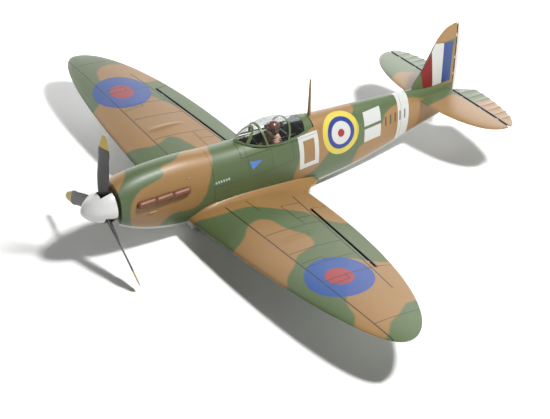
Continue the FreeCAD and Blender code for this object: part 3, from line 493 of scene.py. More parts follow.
# Fin and rudder: height, leading edge, trailing edge.
FIN = [
    (56.0, 331.0, 424.0),
    (66.0, 331.0, 432.0),
    (84.0, 331.0, 435.5),
    (102.0, 331.0, 436.0),
    (114.0, 341.0, 436.0),
    (134.0, 352.5, 434.5),
    (146.0, 359.5, 432.5),
    (158.0, 366.5, 429.0),
    (167.5, 374.0, 424.0),
    (174.0, 381.5, 419.0),
    (178.5, 391.5, 414.0),
    (180.3, 400.0, 409.0),
]
RUDDER_AXIS = 405.7
RUDDER_REST = math.radians(36.0)
RUDDER_RIBS = np.array([68.0, 81.0, 94.0, 107.0, 120.0, 133.0, 146.0, 159.0])
RUDDER_SCALLOP = (1.3, 13.0)
RUDDER_SPAN = (57.0, 178.8)
FIN_SPAN = (84.0, 180.0)
FIN_THICKNESS = 0.062
RUDDER_SWELL = 0.8


def fin_front(z):
    return smooth_curve(FIN, 1, z)


def fin_back(z):
    return smooth_curve(FIN, 2, z)


def make_fin(material, fabric):
    """The fin, and the rudder turned to its rest angle."""
    def skin(z, y, port, ribbed):
        front, back = fin_front(z), fin_back(z)
        chord = np.maximum(back - front, 1.0)
        half = FIN_THICKNESS * section_half((y - front) / chord) * chord
        if ribbed:
            half = half + RUDDER_SWELL * rib_swell(z, RUDDER_RIBS, y, RUDDER_AXIS)
        return np.stack([half if port else -half, y, z], -1)

    fin = Shape()
    grid = flat_grid(constant(FIN_SPAN[0]), constant(FIN_SPAN[1]), fin_front,
                     lambda z: np.minimum(fin_back(z), RUDDER_AXIS - HINGE_GAP), 90, 44)
    # With its back as the front, no part of a fin counts as pale below.
    surface_patch(fin, grid, lambda z, y, port: skin(z, y, port, False), fin_brown, fin_back)
    fin.build("fin_skin", "airframe", material, ("fin",), weld=WELD)
    rudder = Shape()
    grid = flat_grid(constant(RUDDER_SPAN[0]), constant(RUDDER_SPAN[1]), constant(RUDDER_AXIS + HINGE_GAP),
                     lambda z: fabric_edge(fin_back(z), z, RUDDER_RIBS, RUDDER_SCALLOP, RUDDER_AXIS), 260, 24)
    surface_patch(rudder, grid, lambda z, y, port: skin(z, y, port, True), fin_brown, fin_back)
    points = rudder.points[0]
    x, y = points[:, 0].copy(), points[:, 1] - RUDDER_AXIS
    points[:, 0] = x * math.cos(RUDDER_REST) - y * math.sin(RUDDER_REST)
    points[:, 1] = x * math.sin(RUDDER_REST) + y * math.cos(RUDDER_REST) + RUDDER_AXIS
    rudder.build("rudder_skin", "rudder_unit", fabric, ("rudder",), weld=WELD)


# ---------------------------------------------------------------- fuselage

# Stations along the fuselage: y, top, bottom, half width.
FUSELAGE = [
    (-156.0, 109.0, 49.0, 25.7),
    (-146.5, 111.8, 42.5, 26.9),
    (-125.0, 115.3, 31.0, 28.0),
    (-93.0, 116.4, 19.5, 28.7),
    (-57.0, 115.2, 12.5, 29.4),
    (-22.0, 111.0, 9.0, 30.1),
    (14.0, 107.9, 5.5, 30.7),
    (71.0, 108.4, 2.0, 30.6),
    (128.0, 110.8, 1.5, 29.6),
    (170.0, 107.8, 3.0, 26.8),
    (213.0, 104.2, 5.8, 23.5),
    (256.0, 100.4, 12.2, 20.0),
    (299.0, 96.4, 21.0, 16.0),
    (334.0, 93.2, 28.6, 12.8),
    (370.0, 89.2, 35.5, 8.8),
    (404.1, 86.0, 42.0, 5.0),
]
FULLNESS = 2.2
SEAM = -22.0
HATCH_FRONT = 24.0
HATCH_REAR = 144.0
HATCH_LINE = 93.5
SKIN_GAP = 0.2
FOAM = 3.5
SILL = [(26, 109.5), (42, 103.5), (62, 98.5), (92, 94.6), (118, 96.5), (142, 101), (143.7, 101)]


def power(base, exponent):
    return np.sign(base) * np.abs(base) ** exponent


def hull_point(y, angle, inset=0.0):
    """A point on the fuselage skin; the angle runs from -90 at the keel to 90 at the spine."""
    top = smooth_curve(FUSELAGE, 1, y) - inset
    bottom = smooth_curve(FUSELAGE, 2, y) + inset
    half = smooth_curve(FUSELAGE, 3, y) - inset
    x = half * power(np.cos(angle), 2 / FULLNESS)
    z = (top + bottom) / 2 + (top - bottom) / 2 * power(np.sin(angle), 2 / FULLNESS)
    return np.stack([x, y + 0 * angle, z], -1)


def hull_angle(y, z):
    """The section angle at a height."""
    top = smooth_curve(FUSELAGE, 1, y)
    bottom = smooth_curve(FUSELAGE, 2, y)
    rise = np.clip((z - (top + bottom) / 2) / ((top - bottom) / 2), -1, 1)
    return np.arcsin(power(rise, FULLNESS / 2))


GIRTH_STEPS = 240


def skin_values(points, y, angle):
    """Paint attributes of skin points: brown distance, girth from the spine and section angle."""
    fan = np.linspace(math.pi / 2, -math.pi / 2, GIRTH_STEPS)
    upright = np.arcsin(np.clip(np.sin(angle), -1, 1))
    around = np.zeros(angle.shape)
    for row in range(len(angle)):
        ring = hull_point(np.full(GIRTH_STEPS, y[row, 0]), fan)
        length = np.concatenate([[0], np.cumsum(np.linalg.norm(np.diff(ring, axis=0), axis=1))])
        around[row] = np.interp(-upright[row], -fan, length)
    brown = side_brown(points.reshape(-1, 3))
    return {"brown": brown, "girth": around.ravel(), "tilt": np.degrees(upright).ravel()}


def skin_sheets(stations, angle, wall):
    """Outer and inner skin points over rows of section angles, and the outer ones' paint attributes."""
    y = np.repeat(stations[:, None], angle.shape[1], axis=1)
    outer = hull_point(y, angle)
    return outer, hull_point(y, angle, wall), skin_values(outer, y, angle)


def double_skin(shape, outer, inner, faces, values):
    """Join an outer and an inner sheet round every open edge."""
    count = outer.reshape(-1, 3).shape[0]
    edges = {(face[k], face[(k + 1) % 4]) for face in faces for k in range(4)}
    rim = [(b, a, a + count, b + count) for a, b in edges if (b, a) not in edges]
    inside = [tuple(i + count for i in reversed(face)) for face in faces]
    spread = {name: np.concatenate([value, value]) for name, value in values.items()}
    spread["inside"] = np.concatenate([np.zeros(count), np.ones(count)])
    shape.add(np.concatenate([outer.reshape(-1, 3), inner.reshape(-1, 3)]), faces + inside + rim, **spread)


def band_angles(low, high, columns):
    """Section angles from low to high on the left side, one row per station."""
    return low[:, None] + np.linspace(0, 1, columns) * (high - low)[:, None]


def both_sides(angle):
    """Left-side angles followed by their mirror images, without repeats at spine and keel."""
    return np.concatenate([angle, math.pi - angle[:, -2:0:-1]], axis=1)


SHOULDER_LIMIT = math.radians(62)
SIDE_COLUMNS = 52
TOP_COLUMNS = 26
DECK_COLUMNS = 18
DECK_GAP = 0.4
COWL_WALL = 2.0
COWL_HOLE = 16.0


def make_fuselage(material):
    """The hollow fuselage behind the cowl, open where the hatch lies."""
    stations = np.unique(np.concatenate([np.linspace(SEAM + SKIN_GAP, HATCH_FRONT, 24),
                                         np.linspace(HATCH_FRONT, HATCH_REAR, 56),
                                         np.linspace(HATCH_REAR, FUSELAGE[-1][0], 120)]))
    shoulder = np.minimum(hull_angle(stations, HATCH_LINE), SHOULDER_LIMIT)
    spine = np.full(len(stations), math.pi / 2)
    lower = band_angles(-spine, shoulder, SIDE_COLUMNS)
    upper = band_angles(shoulder, spine, TOP_COLUMNS)
    angle = both_sides(np.concatenate([lower, upper[:, 1:]], axis=1))
    outer, inner, values = skin_sheets(stations, angle, FOAM)

    def keep(i, j):
        in_hatch = HATCH_FRONT <= stations[i] < HATCH_REAR
        return not (in_hatch and SIDE_COLUMNS - 1 <= j < SIDE_COLUMNS - 1 + 2 * (TOP_COLUMNS - 1))

    fuselage = Shape()
    double_skin(fuselage, outer, inner, quads(*angle.shape, True, keep), values)
    fuselage.build("fuselage_skin", "airframe", material,
                   ("fuselage_left_half", "fuselage_right_half"))


def make_deck(material):
    """The hatch's deck on both sides of the canopy's sill."""
    sill_y, sill_z = zip(*SILL)
    stations = np.unique(np.concatenate([np.linspace(HATCH_FRONT + DECK_GAP, HATCH_REAR - DECK_GAP, 90),
                                         sill_y[1:-1]]))
    low = hull_angle(stations, HATCH_LINE + DECK_GAP)
    left = band_angles(low, hull_angle(stations, np.interp(stations, sill_y, sill_z)), DECK_COLUMNS)
    angle = np.concatenate([left, math.pi - left[:, ::-1]], axis=1)
    outer, inner, values = skin_sheets(stations, angle, FOAM)
    deck = Shape()
    double_skin(deck, outer, inner, quads(*angle.shape, False, lambda i, j: j != DECK_COLUMNS - 1), values)
    deck.build("hatch_deck_skin", "hatch", material, ("hatch_deck",), weld=0.01)


def make_cowl(material):
    """The cowl's skin, with a front wall round the hole that the motor shaft passes through."""
    stations = np.linspace(FUSELAGE[0][0], SEAM - SKIN_GAP, 70)
    angle = both_sides(np.repeat(np.linspace(-math.pi / 2, math.pi / 2, 76)[None, :], len(stations), axis=0))
    outer, inner, values = skin_sheets(stations, angle, COWL_WALL)
    inner[0, :, 1] = stations[0] + COWL_WALL
    hole = np.stack([COWL_HOLE * np.cos(angle[0]), 0 * angle[0], THRUST + COWL_HOLE * np.sin(angle[0])], -1)
    share = np.linspace(0, 1, 8)[:-1, None, None]
    sheets = []
    for sheet in (outer, inner):
        wall = hole + share * (sheet[0] - hole)
        wall[..., 1] = sheet[0, 0, 1]
        sheets.append(np.concatenate([wall, sheet]))
    columns = angle.shape[1]
    values = {name: np.concatenate([np.tile(value[:columns], len(share)), value])
              for name, value in values.items()}
    cowl = Shape()
    double_skin(cowl, *sheets, quads(len(sheets[0]), columns, True), values)
    cowl.build("nose_cowl_skin", "airframe", material, ("nose_cowl",))


# Wing fillet: y, height on the fuselage side, outer x, height at the outer edge.
FILLET = [
    (-55.0, 32.0, 30.0, 29.5),
    (-35.0, 43.5, 34.0, 39.0),
    (-10.0, 45.5, 37.0, 42.2),
    (20.0, 45.0, 40.0, 42.4),
    (50.0, 42.5, 44.0, 39.6),
    (80.0, 39.0, 50.0, 35.4),
    (100.0, 36.5, 58.0, 32.6),
    (109.0, 35.0, 56.0, 30.8),
    (121.0, 32.5, 46.0, 28.6),
    (135.0, 28.5, 37.0, 25.6),
    (147.0, 24.5, 30.0, 22.6),
]
FILLET_DEPTH = 3.0
FILLET_TUCK = 4.0
FILLET_SINK = 0.5
FILLET_PULL = 0.6


def make_fillet(side, material):
    """A smooth web from the fuselage side out on to the wing."""
    label = "left" if side > 0 else "right"
    stations = np.linspace(FILLET[0][0], FILLET[-1][0], 90)
    side_z, edge_x, edge_z = (smooth_curve(FILLET, k, stations) for k in (1, 2, 3))
    side_x = hull_point(stations, hull_angle(stations, side_z))[:, 0] - FILLET_SINK
    start, end, corner = (np.stack([x, stations, z], -1)[:, None, :]
                          for x, z in ((side_x, side_z), (edge_x, edge_z), (side_x, edge_z)))
    share = np.linspace(0, 1, 16)[None, :, None]
    pull = 2 * share * (1 - share) * FILLET_PULL
    upper = start + share * (end - start) + pull * (corner - 0.5 * (start + end))
    lower = upper.copy()
    lower[..., 2] = edge_z[:, None] - FILLET_DEPTH
    lower[:, 0, 0] -= FILLET_TUCK
    root = upper[:, :1].copy()
    root[..., 0] -= FILLET_TUCK
    ring = np.concatenate([root, upper, lower[:, ::-1]], axis=1)
    ring[..., 0] *= side
    fillet = Shape()
    fillet.grid(ring, closed=True, caps=True, brown=wing_brown(ring.reshape(-1, 3)))
    fillet.build(f"wing_fillet_{label}_skin", "airframe", material,
                 (f"wing_fillet_{label}",), weld=WELD)


# ---------------------------------------------------------------- node materials

# The mix node's colour sockets, which share their names with its other sockets.
MIX_FIRST = 6
MIX_SECOND = 7
MIX_RESULT = 2
SOFT_DISC = 0.35
SOFT_LINE = 0.3


def connect(tree, source, socket):
    """Link a node's output to a socket, or set the socket to a number or colour."""
    if isinstance(source, (int, float)):
        socket.default_value = source
    elif isinstance(source, (tuple, list)):
        socket.default_value = source if len(source) == len(socket.default_value) else (*source, 1.0)
    else:
        tree.links.new(source, socket)


def add_node(tree, kind, inputs, **settings):
    """A shader node with its settings made, and its inputs given by name or position."""
    node = tree.nodes.new("ShaderNode" + kind)
    for name, value in settings.items():
        setattr(node, name, value)
    for key, source in inputs.items():
        connect(tree, source, node.inputs[key])
    return node


def make_stroke_group():
    """A node group for the distance from a point of the plane to a straight run."""
    group = bpy.data.node_groups.new("Stroke", "ShaderNodeTree")
    for name in ("Point", "Start", "Run"):
        group.interface.new_socket(name, in_out="INPUT", socket_type="NodeSocketVector")
    group.interface.new_socket("Distance", in_out="OUTPUT", socket_type="NodeSocketFloat")
    given = group.nodes.new("NodeGroupInput").outputs
    run = given["Run"]

    def vector(operation, inputs, output=0):
        return add_node(group, "VectorMath", inputs, operation=operation).outputs[output]

    offset = vector("SUBTRACT", {0: given["Point"], 1: given["Start"]})
    reach = vector("DOT_PRODUCT", {0: offset, 1: run}, "Value")
    whole = vector("DOT_PRODUCT", {0: run, 1: run}, "Value")
    share = add_node(group, "Math", {0: reach, 1: whole}, operation="DIVIDE", use_clamp=True).outputs[0]
    near = vector("SCALE", {0: run, "Scale": share})
    distance = vector("DISTANCE", {0: offset, 1: near}, "Value")
    connect(group, distance, group.nodes.new("NodeGroupOutput").inputs["Distance"])
    return group


STROKE_GROUP = make_stroke_group()


class Paint:
    """A node material built step by step."""

    def __init__(self, name, coat=0.0, metallic=0.0):
        self.material = bpy.data.materials.new(name)
        self.material.use_nodes = True
        self.tree = self.material.node_tree
        self.shade({"Metallic": metallic, "Coat Weight": coat, "Coat Roughness": 0.34})
        self.place = self.node("TexCoord", {}).outputs["Object"]
        self.normal = None

    def shade(self, inputs):
        """Set or link the inputs of the shader."""
        for name, source in inputs.items():
            connect(self.tree, source, self.tree.nodes["Principled BSDF"].inputs[name])

    def node(self, kind, inputs, **settings):
        return add_node(self.tree, kind, inputs, **settings)

    def math(self, operation, *values):
        return self.node("Math", dict(enumerate(values)), operation=operation).outputs[0]

    def attribute(self, name):
        return self.node("Attribute", {}, attribute_name=name).outputs["Fac"]

    @cached_property
    def axes(self):
        """Object coordinates in millimetres."""
        scaled = self.node("VectorMath", {0: self.place, "Scale": 1 / MM}, operation="SCALE")
        return self.node("SeparateXYZ", {0: scaled.outputs[0]}).outputs

    def step(self, value, low, high):
        """A soft step from 0 at low to 1 at high."""
        ends = {"From Min": min(low, high), "From Max": max(low, high),
                "To Min": float(low > high), "To Max": float(low < high)}
        node = self.node("MapRange", {"Value": value, **ends}, interpolation_type="SMOOTHSTEP")
        return node.outputs["Result"]

    def mix(self, share, first, second, blend="MIX"):
        inputs = {"Factor": share, MIX_FIRST: first, MIX_SECOND: second}
        return self.node("Mix", inputs, data_type="RGBA", blend_type=blend).outputs[MIX_RESULT]

    def noise(self, scale, detail=3.0):
        """Noise with its features per metre."""
        inputs = {"Scale": scale, "Detail": detail, "Roughness": 0.55, "Vector": self.place}
        return self.node("TexNoise", inputs).outputs["Fac"]

    def flat(self, first, second):
        """A point in the plane of two coordinates."""
        return self.node("CombineXYZ", {0: first, 1: second}).outputs[0]

    def least(self, values):
        return reduce(lambda first, second: self.math("MINIMUM", first, second), values)

    def disc(self, point, centre, radius):
        gap = self.node("VectorMath", {0: point, 1: (*centre, 0)}, operation="DISTANCE").outputs["Value"]
        return self.step(gap, radius + SOFT_DISC, radius - SOFT_DISC)

    def strokes(self, point, lines, half_width, soft=SOFT_LINE):
        """1 along straight lines between points of the plane."""
        gaps = []
        for (ax, ay), (bx, by) in lines:
            inputs = {"Point": point, "Start": (ax, ay, 0), "Run": (bx - ax, by - ay, 0)}
            gaps.append(self.node("Group", inputs, node_tree=STROKE_GROUP).outputs["Distance"])
        return self.step(self.least(gaps), half_width + soft, half_width - soft)

    def polygon(self, first, second, corners):
        """1 inside a convex polygon."""
        pairs = list(zip(corners, corners[1:] + corners[:1]))
        if sum(ax * by - bx * ay for (ax, ay), (bx, by) in pairs) < 0:
            pairs = [(b, a) for a, b in pairs]
        depths = []
        for (ax, ay), (bx, by) in pairs:
            length = math.hypot(bx - ax, by - ay)
            nx, ny = (ay - by) / length, (bx - ax) / length
            offset = self.math("MULTIPLY_ADD", first, nx, -(nx * ax + ny * ay))
            depths.append(self.math("MULTIPLY_ADD", second, ny, offset))
        return self.step(self.least(depths), -SOFT_LINE, SOFT_LINE)

    def emboss(self, height, distance, strength=1.0):
        """Add a bump on top of the ones before it."""
        inputs = {"Height": height, "Distance": distance, "Strength": strength}
        if self.normal is not None:
            inputs["Normal"] = self.normal
        self.normal = self.node("Bump", inputs).outputs["Normal"]

    def finish(self, colour, grain, spread, least):
        """Set the colour, and a roughness that rises from its least value with a noise."""
        roughness = self.math("MULTIPLY_ADD", self.noise(grain), spread, least)
        self.shade({"Base Color": colour, "Roughness": roughness})
        if self.normal is not None:
            self.shade({"Normal": self.normal})
        return self.material


PAINT_DEPTH = 0.74


def linear(red, green, blue):
    """A screen colour from 0 to 255 as scene-linear paint, darkened to suit the bright studio."""
    return tuple(PAINT_DEPTH * ((v / 255 + 0.055) / 1.055) ** 2.4 for v in (red, green, blue))


GREEN = linear(90, 110, 68)
BROWN = linear(166, 126, 74)
SKY = linear(196, 200, 190)
WHITE = linear(216, 217, 212)
DARK = linear(26, 24, 18)
FOAM_COLOUR = linear(222, 220, 210)
BLACK = linear(14, 13, 10)
YELLOW = linear(222, 204, 74)
BLUE = linear(0, 52, 142)
WING_BLUE = linear(14, 76, 158)
RED = linear(160, 4, 14)
WING_RED = linear(164, 46, 42)
FIN_RED = linear(132, 2, 10)
FIN_BLUE = linear(10, 62, 136)
PENNANT_BLUE = linear(84, 130, 214)
# Painted sheen on the rudder, standing for a bright reflection at a grazing angle.
PAINTED_SHEEN_BEIGE = linear(206, 196, 172)
WEAR = (0.78, 0.8, 0.82)
SPRAY_EDGE = 2.3


class Camouflage(Paint):
    """Satin green and brown paint with soft sprayed edges over foam."""

    def __init__(self, name, coat=0.22):
        super().__init__(name, coat)
        blotch = self.noise(11.0, 4.0)
        feather = self.math("MULTIPLY_ADD", self.noise(90.0, 2.0), 3.0, -1.5)
        edge = self.math("ADD", self.attribute("brown"), feather)
        self.colour = self.mix(self.step(edge, -SPRAY_EDGE, SPRAY_EDGE), GREEN, BROWN)
        worn = self.mix(1.0, self.colour, WEAR, blend="MULTIPLY")
        self.mark(self.step(blotch, 0.35, 0.7), worn, 0.42)
        self.mark(self.step(self.noise(700.0, 2.0), 0.62, 0.75), DARK, 0.12)

    def mark(self, mask, colour, share=1.0):
        if share != 1.0:
            mask = self.math("MULTIPLY", mask, share)
        self.colour = self.mix(mask, self.colour, colour)

    def groove(self, mask, share=0.92):
        self.mark(mask, DARK, share)
        self.emboss(self.math("MULTIPLY", mask, -1.0), 0.0002)

    def pale_below(self):
        self.mark(self.step(self.attribute("lower"), 0.3, 0.7), SKY)

    def done(self):
        self.emboss(self.noise(420.0), 0.00012, 0.35)
        return self.finish(self.colour, 24.0, 0.16, 0.42)


# Engraved lines of each wing: two long seams, then the finer ones.
PORT_LINES = [
    ((0.6, 2.614), (5.45, 2.6)), ((0.88, 3.92), (4.32, 3.5)), ((1.84, 2.65), (1.92, 3.8)),
    ((2.57, 2.65), (2.65, 3.71)), ((2.93, 2.65), (2.93, 3.06)), ((3.07, 2.65), (3.12, 3.65)),
    ((3.58, 2.65), (3.65, 3.6)), ((3.73, 2.65), (3.73, 3.06)), ((4.97, 2.6), (5.04, 3.45)),
    ((1.63, 3.5), (1.66, 3.8)), ((1.12, 3.5), (1.14, 3.88)), ((0.62, 3.05), (1.05, 3.05)),
    ((1.12, 3.48), (1.88, 3.48)), ((2.93, 3.06), (3.07, 3.06)), ((3.58, 3.06), (3.73, 3.06)),
]
STARBOARD_LINES = [
    ((-0.6, 2.62), (-5.5, 2.6)), ((-0.88, 3.92), (-4.4, 3.5)), ((-2.0, 2.65), (-1.9, 3.76)),
    ((-2.78, 2.65), (-2.66, 3.71)), ((-3.15, 2.65), (-3.15, 3.06)), ((-3.3, 2.65), (-3.2, 3.62)),
    ((-3.85, 2.65), (-3.75, 3.6)), ((-3.97, 2.65), (-3.97, 3.07)), ((-5.15, 2.5), (-5.1, 3.35)),
    ((-1.66, 3.5), (-1.62, 3.8)), ((-1.12, 3.5), (-1.14, 3.88)), ((-0.62, 3.05), (-1.4, 3.05)),
    ((-1.12, 3.48), (-1.9, 3.47)), ((-3.15, 3.07), (-3.28, 3.07)), ((-3.8, 3.07), (-3.97, 3.07)),
]
SEAM_HALF = 0.8
FINE_HALF = 0.55
SHADED_COVE_HALF = 2.4
THIN_HALF = 0.22

# Painted shade of the hinge gap's cove in front of each aileron, from root to tip.
SHADED_COVE = ((AILERON_ROOT[0] + 3.5, AILERON_ROOT[1] - 0.5), (AILERON_TIP[0], AILERON_TIP[1] + 0.4))
SHADED_COVE_SOFT = 0.5
PORT_ROUNDEL = (3.59, 2.95)
STARBOARD_ROUNDEL = (-3.81, 2.955)
BLUE_RADIUS = 0.6 * SCALE
RED_RADIUS = 0.25 * SCALE


def wing_paint(name, centre=None, lines=()):
    """Wing camouflage, with a roundel about a full-size centre and engraved lines if they are given."""
    paint = Camouflage(name)
    plan = paint.flat(*paint.axes[:2])
    if centre:
        middle = plan_outline([centre])[0]
        paint.mark(paint.disc(plan, middle, BLUE_RADIUS), WING_BLUE, 0.92)
        paint.mark(paint.disc(plan, middle, RED_RADIUS), WING_RED, 0.95)
    paint.pale_below()
    if lines:
        runs = [plan_outline(line) for line in lines]
        paint.groove(paint.strokes(plan, runs[:2], SEAM_HALF))
        paint.groove(paint.strokes(plan, runs[2:], FINE_HALF))
    # Painted shade: a black stroke along each aileron's hinge gap stands for the shade inside it.
    shaded_coves = [[(side * x, y) for x, y in SHADED_COVE] for side in (-1, 1)]
    paint.mark(paint.strokes(plan, shaded_coves, SHADED_COVE_HALF, SHADED_COVE_SOFT), BLACK)
    return paint.done()


def girth_at(y, z):
    """Skin distance from the spine to a height, in millimetres."""
    station = np.array([[float(y)]])
    angle = hull_angle(np.array([float(y)]), float(z)).reshape(1, 1)
    return float(skin_values(hull_point(station, angle), station, angle)["girth"][0])


def skin_runs(runs):
    """Runs of (y, z) pairs, laid out on the unrolled skin."""
    return [[(y, girth_at(y, z)) for y, z in run] for run in runs]


SIDE_LINES = [
    ((33.0, 103.0), (33.0, 68.5)), ((70.5, 98.0), (70.5, 68.5)), ((104.5, 95.0), (104.5, 68.5)),
    ((-22.0, 69.5), (104.5, 68.5)), ((217.0, 103.0), (217.0, 8.0)), ((300.0, 95.0), (300.0, 24.0)),
]
ROUNDEL = (187.5, 80.0)
ROUNDEL_RINGS = [(32.0, YELLOW), (23.6, BLUE), (16.8, WHITE), (5.8, RED)]
BAND = (294.0, 315.0)
BAND_SOFT = 0.4
PENNANT = [(35.0, 87.0), (38.5, 75.5), (55.0, 84.0)]

# Plain patches on the body: front, rear, bottom, top and lean, then colour and cover.
RING_OUTSIDE = (114.0, 147.0, 49.0, 96.5)
RING_INSIDE = (121.3, 140.0, 56.0, 89.0)
PATCHES = [((230.0, 261.0, low, high), WHITE, 1.0) for low, high in ((50.0, 70.0), (74.5, 94.0))]
PATCHES += [((y, y + 2.6, 62.0, 76.5), DARK, 0.8) for y in np.arange(269.0, 312.0, 9.2)]
PATCHES += [((y, y + 2.2, 73.0, 76.2, 0.6), WHITE, 1.0) for y in np.arange(-24.0, 0.0, 3.9)]


def body_paint(name, marked):
    """Body camouflage over a pale belly, with the markings and engraved lines if it is marked."""
    paint = Camouflage(name)
    x, y = paint.axes[:2]
    around = paint.attribute("girth")
    unrolled = paint.flat(y, around)

    def patch(front, rear, low, high, lean=0.0):
        corners = [(front, girth_at(front, high)), (front + lean, girth_at(front, low)),
                   (rear + lean, girth_at(rear, low)), (rear, girth_at(rear, high))]
        return paint.polygon(y, around, corners)

    if marked:
        centre = (ROUNDEL[0], girth_at(*ROUNDEL))
        for radius, colour in ROUNDEL_RINGS:
            paint.mark(paint.disc(unrolled, centre, radius), colour)
        front, rear = BAND
        paint.mark(paint.math("MULTIPLY", paint.step(y, front - BAND_SOFT, front + BAND_SOFT),
                              paint.step(y, rear + BAND_SOFT, rear - BAND_SOFT)), WHITE)
        hollow = paint.math("SUBTRACT", 1.0, patch(*RING_INSIDE))
        paint.mark(paint.math("MULTIPLY", patch(*RING_OUTSIDE), hollow), WHITE)
        for bounds, colour, cover in PATCHES:
            paint.mark(patch(*bounds), colour, cover)
        port = paint.step(x, 0.0, 1.0)
        pennant = paint.polygon(y, around, *skin_runs([PENNANT]))
        paint.mark(paint.math("MULTIPLY", pennant, port), PENNANT_BLUE)
        paint.groove(paint.strokes(unrolled, skin_runs(SIDE_LINES), THIN_HALF))
    paint.mark(paint.step(paint.attribute("tilt"), -46.0, -50.0), SKY)
    paint.mark(paint.attribute("inside"), FOAM_COLOUR)
    return paint.done()


ELEVATOR_SPOT = (20.7, 408.8)


def tail_paint(name, ribs_axis=0, ribs=(), upright=False):
    """Glossy paint with dark lines along its ribs; an upright surface gets a painted sheen, and the others
    get painted shade along the elevator's hinge gap, and the spots.
    """
    paint = Camouflage(name, coat=0.85)
    if upright:
        # Painted sheen: a pale beige over the rudder's camouflage stands for a grazing reflection of the
        # bright studio.
        paint.mark(0.6, PAINTED_SHEEN_BEIGE)
    if len(ribs):
        position = paint.math("ABSOLUTE", paint.axes[ribs_axis])
        gaps = [paint.math("ABSOLUTE", paint.math("SUBTRACT", position, rib)) for rib in ribs]
        paint.mark(paint.step(paint.least(gaps), 0.9, 0.3), DARK, 0.75)
    if not upright:
        gap = paint.math("ABSOLUTE", paint.math("SUBTRACT", paint.axes[1], TAIL_AXIS))
        # Painted shade: a black band along the elevator's hinge gap.
        paint.mark(paint.step(gap, 3.0, 2.2), BLACK)
        plan = paint.flat(*paint.axes[:2])
        for radius, colour in ((3.1, WHITE), (2.2, BLACK)):
            paint.mark(paint.disc(plan, ELEVATOR_SPOT, radius), colour)
    paint.pale_below()
    return paint.done()


FLASH = [
    (FIN_RED, [(7.62, 0.52), (7.69, 0.165), (7.935, 0.165), (7.865, 0.93)]),
    (WHITE, [(7.865, 0.93), (7.935, 0.165), (8.17, 0.165), (8.16, 1.06), (7.95, 1.1)]),
    (FIN_BLUE, [(8.17, 0.165), (8.4, 0.165), (8.395, 1.04), (8.16, 1.06)]),
]
FIN_SEAM = [(7.9, 1.09), (8.4, 1.06)]


def fin_paint():
    """Fin camouflage with the three-coloured flash and one engraved line."""
    paint = Camouflage("fin_paint")
    _, y, z = paint.axes
    for colour, corners in FLASH:
        paint.mark(paint.polygon(y, z, side_outline(corners).tolist()), colour)
    paint.groove(paint.strokes(paint.flat(y, z), [side_outline(FIN_SEAM)], THIN_HALF), 0.5)
    return paint.done()


# ---------------------------------------------------------------- build

port_wing = wing_paint("port_wing_paint", PORT_ROUNDEL, PORT_LINES)
starboard_wing = wing_paint("starboard_wing_paint", STARBOARD_ROUNDEL, STARBOARD_LINES)
plain_wing = wing_paint("aileron_paint")
make_wing(1, port_wing, plain_wing)
make_wing(-1, starboard_wing, plain_wing)
make_fillet(1, plain_wing)
make_fillet(-1, plain_wing)
body = body_paint("body_paint", True)
make_fuselage(body)
make_deck(body)
make_cowl(body_paint("cowl_paint", False))
make_tail(tail_paint("stabilizer_paint"), tail_paint("elevator_paint", 0, TAIL_RIBS))
make_fin(fin_paint(), tail_paint("rudder_paint", 2, RUDDER_RIBS, True))


# ---------------------------------------------------------------- pilot and nose details

POLE_RADIUS = 0.02


def ball(shape, centre, radii, rows=22, columns=32, bend=None, pinch=2.0, **values):
    """A closed rounded lump; bend moves its points, pinch squares its sections."""
    rise = np.linspace(-math.pi / 2, math.pi / 2, rows)[:, None]
    turn = np.linspace(0, 2 * math.pi, columns, endpoint=False)[None, :]
    across, ahead = (np.cos(rise) * power(wave(turn), 2 / pinch) for wave in (np.cos, np.sin))
    unit = np.stack([across, ahead, np.sin(rise) + 0 * turn], -1)
    for end in (0, -1):
        unit[end, :, :2] = POLE_RADIUS * np.stack([np.cos(turn[0]), np.sin(turn[0])], -1)
    points = np.array(centre) + unit * np.array(radii)
    if bend is not None:
        points = bend(points)
    spread = {name: np.full(points.shape[:2], value) for name, value in values.items()}
    shape.grid(points, closed=True, caps=True, **spread)


HEAD = np.array([0.0, 88.0, 108.6])

# The collar's rings, from its foot over its top to its inside: radius and height.
COLLAR = [(6.6, 95.6), (7.6, 97.0), (7.4, 99.2), (6.4, 100.6), (5.4, 99.2), (5.4, 95.6)]


